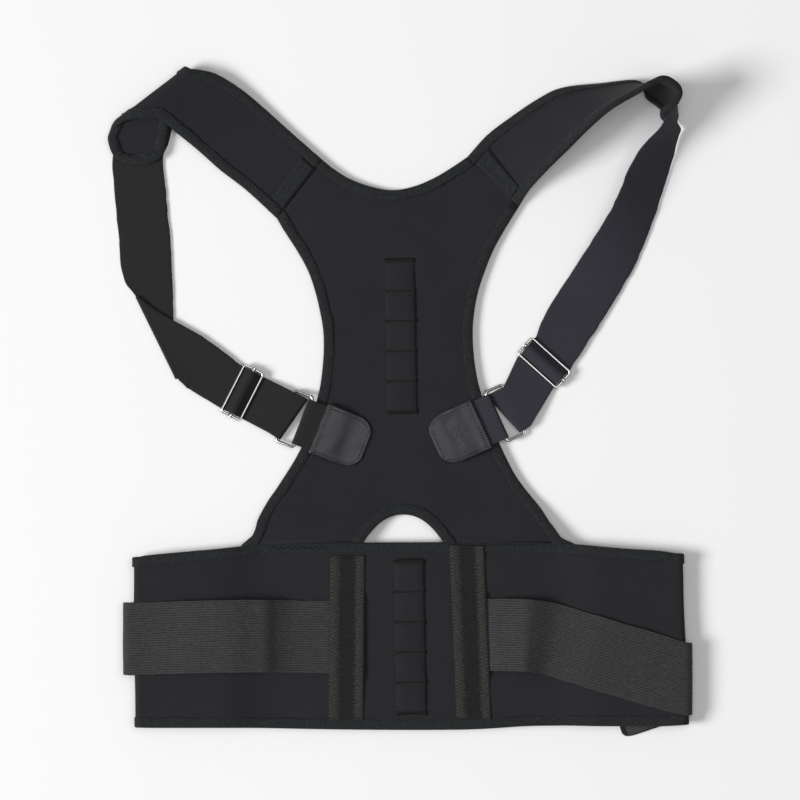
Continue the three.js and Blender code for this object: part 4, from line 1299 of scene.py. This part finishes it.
def rod(centre, direction, length, thick, bevel=0.0):
    """A round bar, or a rivet where its ends are bevelled."""
    bpy.ops.mesh.primitive_cylinder_add(vertices=24, radius=thick / 2000, depth=length / 1000)
    bar = bpy.context.object
    turn = Vector((0, 0, 1)).rotation_difference(Vector(direction)).to_matrix()
    spot = Vector((centre + shift) / 1000)
    if bevel:
        bpy.ops.object.mode_set(mode="EDIT")
        bpy.ops.mesh.select_all(action="SELECT")
        bpy.ops.mesh.bevel(offset=bevel / 1000, segments=2, clamp_overlap=False)
        bpy.ops.object.mode_set(mode="OBJECT")
    for vertex in bar.data.vertices:
        vertex.co = turn @ vertex.co + spot
    return bar


def finish_metal(name, parts, replaced):
    """Joins the parts into one smooth nickel piece."""
    bpy.ops.object.select_all(action="DESELECT")
    for piece in parts:
        piece.select_set(True)
    bpy.context.view_layer.objects.active = parts[0]
    if len(parts) > 1:
        bpy.ops.object.join()
    piece = bpy.context.object
    bpy.ops.object.shade_smooth_by_angle(angle=math.radians(40))
    piece.name = name
    piece.data.name = name
    piece.data.materials.clear()
    piece.data.materials.append(nickel)
    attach(piece, "root")
    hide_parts(replaced)
    bpy.ops.object.select_all(action="DESELECT")


def make_fitting(side, fitting):
    """One side's leather patch, ring loop, ring and slide."""
    long, inward, at, across = fitting_line(fitting)
    rows = [np.array(row, float) for row in patch_rows]
    strip = []
    for along, width in curve_points(rows, 4):
        distance = along * patch_length
        rise = 1 - ease(distance, loop_tuck + 1, loop_tuck + 1 + patch_slope_length)
        strip.append(across(distance, patch_low + (patch_high - patch_low) * rise, width * patch_width))
    solid = [f"{side}_leather_patch"]
    patch = strap(
        f"{side}_sewn_patch", strip, patch_thick, leather, "leather", solid, 14, wave=0.5, wave_size=9.0
    )
    faces_up = normals(strip)
    top = [up * patch_thick / 2 for up in faces_up]

    def inside(s, k):
        return s[k] + unit(s[1 - k] - s[k]) * patch_seam_inset

    edges = []
    for k in (0, 1):
        edges.append([(inside(s, k) + t, up) for s, t, up in zip(strip, top, faces_up)][3:-4])
    end = [(inside(strip[-5], k) + top[-5], up_z) for k in (0, 1)]
    ladder = []
    for k in range(19):
        share = (k + 1.0) / 20
        a = strip[1][0] + (strip[1][1] - strip[1][0]) * share + top[1]
        ladder.append([(a + inward * 0.9, up_z), (a + inward * 3.9, up_z)])
    sewn = bars(f"{side}_patch_ladder", ladder, patch_thread, "leather", 0.7, 0.4)
    seams = sew(f"{side}_patch_stitches", [*edges, end], patch_thread, "leather", 2.4, 1.8, 0.7, 0.35)

    lower = [
        across(d, level, loop_width)
        for d, level in (
            (loop_tuck, loop_low),
            (edge_out - loop_tuck - 2, loop_low),
            (-rod_distance, loop_rod_level - loop_turn),
        )
    ]
    bend = turn_back(lower, 2 * loop_turn, 10)
    upper = [
        across(d, level, loop_width)
        for d, level in (
            (-rod_distance / 2, loop_high + loop_sink / 2),
            (-1, loop_high),
            (loop_tuck, loop_high),
        )
    ]
    # The right ring loop takes the right webbing's lighter copy, with its painted light.
    web = left_webbing if side == "left" else lit_right_webbing
    strip = lower + bend + upper
    loop = strap(f"{side}_rod_loop", strip, loop_thick, web, "webbing", [f"{side}_ring_loop"])

    near, rest = at(-rod_distance, loop_rod_level), at(-rod_distance - ring_span, rod_level)
    cross = near - rest
    ring = wire_loop(
        f"{side}_strap_ring",
        (near + rest) / 2,
        long,
        unit(cross),
        ring_inner + ring_wire,
        np.linalg.norm(cross),
        ring_corner,
        ring_wire,
    )
    finish_metal(f"{side}_strap_ring", [ring], f"{side}_ring")

    x, y, turn = fitting["slide"]
    centre = place(x, y, frame_level)
    bar_way, over_way = heading(turn), heading(turn + 90)
    length = slide_inner + wire
    span = slide_width - wire
    parts = [wire_loop("slide_frame", centre, bar_way, over_way, length, span, slide_corner, wire)]
    bpy.ops.object.select_all(action="DESELECT")
    parts.append(rod(centre, bar_way, length, wire))
    for sign in (-1, 1):
        parts.append(rod(centre + bar_way * sign * length / 2, bar_way, rivet_length, rivet, 0.5))
    finish_metal(f"{side}_strap_slide", parts, f"{side}_slide")


# Shoulder webbing


def threaded_end(fitting):
    """The webbing's way over the slide's bar, round the ring and back round that bar."""
    x, y, turn = fitting["slide"]
    travel = heading(turn + 90)

    def slide(offset, height):
        return section(place(x, y, frame_level + height) + travel * offset, turn, 0, threaded_width)

    reach = (slide_width - wire) / 2
    over_turn = bar_turn + web_thick + 1.4 * clearance
    half = [(reach - bar_turn * math.sin(a), -bar_turn * math.cos(a)) for a in np.radians([0, 22.5, 45])]
    half += [(over_turn * math.sin(a), over_turn * math.cos(a)) for a in np.radians([60, 45, 30, 15])]
    run_off = (reach + wire, -bar_turn)
    entry = slide(-run_off[0], run_off[1])
    through = [slide(-o, h) for o, h in half] + [slide(0, over_turn)]
    through += [slide(o, h) for o, h in reversed(half)] + [slide(*run_off)]

    _, inward, at, _ = fitting_line(fitting)
    strap_travel = heading(fitting["strap_turn"] + 90)
    skew = abs(np.cross(inward, strap_travel)[2])
    slack = threaded_width / 2 * skew + clearance

    def ring(distance, level):
        centre = at(-rod_distance - ring_span, level) + strap_travel * distance
        return section(centre, fitting["strap_turn"], 0, threaded_width)

    def slanted(pair, share):
        """The fold round the ring lies aslant: one corner reaches further over the ring."""
        corner = fitting["corner"]
        outward = unit(pair[corner] - middle(pair))
        moved = list(pair)
        moved[corner] = pair[corner] + share * (strap_travel * fitting["reach"] + outward * fold_play)
        return tuple(moved)

    gate = -rod_turn - threaded_width / 2 * skew
    out = [slanted(ring(gate, rod_level + rod_turn), 0.4), slanted(ring(slack, rod_level + rod_turn), 1.0)]
    bend = turn_back(out, -2 * rod_turn, 10)
    low = strap_level - frame_level
    back = [
        ring(gate, strap_level),
        slide(reach, low),
        slide(0.6 * reach, low),
        slide(0.35 * reach, low + (-bar_turn - low) * 0.45),
        slide(0.15 * reach, low + (-bar_turn - low) * 0.9),
    ]
    for a in np.radians([0, 22, 45, 68, 90, 112, 135, 158, 180]):
        back.append(slide(-bar_turn * math.sin(a), -bar_turn * math.cos(a)))
    return entry, through + out + bend + back


def webbing(side, strip, finish, edge_wave):
    return strap(
        f"{side}_strap_webbing",
        strip,
        web_thick,
        finish,
        "webbing",
        [f"{side}_shoulder_webbing"],
        12,
        wave=0.2,
        wave_size=15.0,
        edge_wave=edge_wave,
    )


def make_shoulder_webbing():
    entry, rest = threaded_end(fittings["left"])
    under = smooth(sections(left_web_under, web_width, strap_level, strap_level), 6)
    bend = turn_back(under, 2 * web_fold_radius, 8)
    over = sections(left_web_over, web_width, strap_level, strap_level + 2 * web_fold_radius)
    strip = under + bend + smooth([bend[-1], *over, entry], 6)[1:] + rest
    webbing("left", strip, left_webbing, 0.5)

    entry, rest = threaded_end(fittings["right"])
    standing = sections(right_web_rows, web_width, strap_level, strap_level + web_width)
    strip = smooth([*standing, entry], 8) + rest
    webbing("right", strip, lit_right_webbing, 0.7)


def make_hem_seams():
    """Stitches over the belt's top binding: a wandering row at the left, a bar tack at the right."""
    top = belt_level + binding_half + 0.1

    def seam(x_from, x_to, y, reach, steps):
        xs = np.linspace(x_from, x_to, steps)
        return [(np.array([x, y + (reach if k % 2 else -reach), top]), up_z) for k, x in enumerate(xs)]

    bars("hem_seams", [seam(*row) for row in hem_seams], seam_thread_and_groove_shade, "edge_tape", 0.7, 0.3)


make_back_panel()
make_arms()
make_belt()
make_hem_seams()
make_pull_strap("left", left_elastic_rows)
make_pull_strap("right", right_elastic_rows)
make_stay_tape("left", left_stay_rows)
make_stay_tape("right", right_stay_rows)
panel_top = panel_level + foam_thick / 2 + clearance
make_pockets("panel_magnet_row", upper_pockets, panel_top, "upper_magnet_pockets")
make_pockets("belt_magnet_row", lower_pockets, foam_top(0), "lower_magnet_pockets")
for fitting_side, fitting_sizes in fittings.items():
    make_fitting(fitting_side, fitting_sizes)
make_shoulder_webbing()
sew("edge_stitches", stitch_lines, black_thread, "edge_tape", stitch_pitch, 2.2, 0.6, 0.3)
# Wide overlapping bars: painted shade in the pocket seams' grooves, over their stitches.
bars("pocket_seam_shade_bars", pocket_groove_shade_lines, seam_thread_and_groove_shade, "neoprene", 4.2, 0.22, 1.7)


# Table, light and camera

view_width = 0.624
camera_height = 4.0
picture_up = 111.54
table_level = -0.0007
picture_middle = Vector((shift[0], picture_up + shift[1], 0.0)) / 1000


def make_table():
    bpy.ops.mesh.primitive_plane_add(size=12, location=(0, 0, table_level))
    table = bpy.context.object
    table.name = "table_top"
    material, _, shader = new_material("pale_table")
    shader.inputs["Base Color"].default_value = linear("#ececec")
    shader.inputs["Roughness"].default_value = 0.9
    shader.inputs["Specular IOR Level"].default_value = 0.1
    table.data.materials.append(material)


def soft_light(name, place_at, size, power):
    data = bpy.data.lights.new(name, "AREA")
    data.shape = "DISK"
    data.size = size
    data.energy = power
    light = bpy.data.objects.new(name, data)
    light.location = place_at
    light.rotation_euler = (-Vector(place_at)).to_track_quat("-Z", "Y").to_euler()
    bpy.context.scene.collection.objects.link(light)


make_table()
soft_light("window_light", (-5.2, -0.9, 3.9), 2.6, 434)
soft_light("ceiling_light", (0.4, 0.2, 3.4), 2.6, 39.2)
world = bpy.data.worlds.new("room")
world.use_nodes = True
world.node_tree.nodes["Background"].inputs[0].default_value = linear("#ffffff")
world.node_tree.nodes["Background"].inputs[1].default_value = 0.217
bpy.context.scene.world = world

lens = bpy.data.cameras.new("photo_camera")
lens.sensor_width = 36
lens.lens = 36 * camera_height / view_width
lens.clip_end = 50
camera = bpy.data.objects.new("photo_camera", lens)
camera.location = picture_middle + Vector((0, 0, camera_height))
bpy.context.scene.collection.objects.link(camera)
bpy.context.scene.camera = camera
bpy.context.scene.view_settings.view_transform = "Standard"
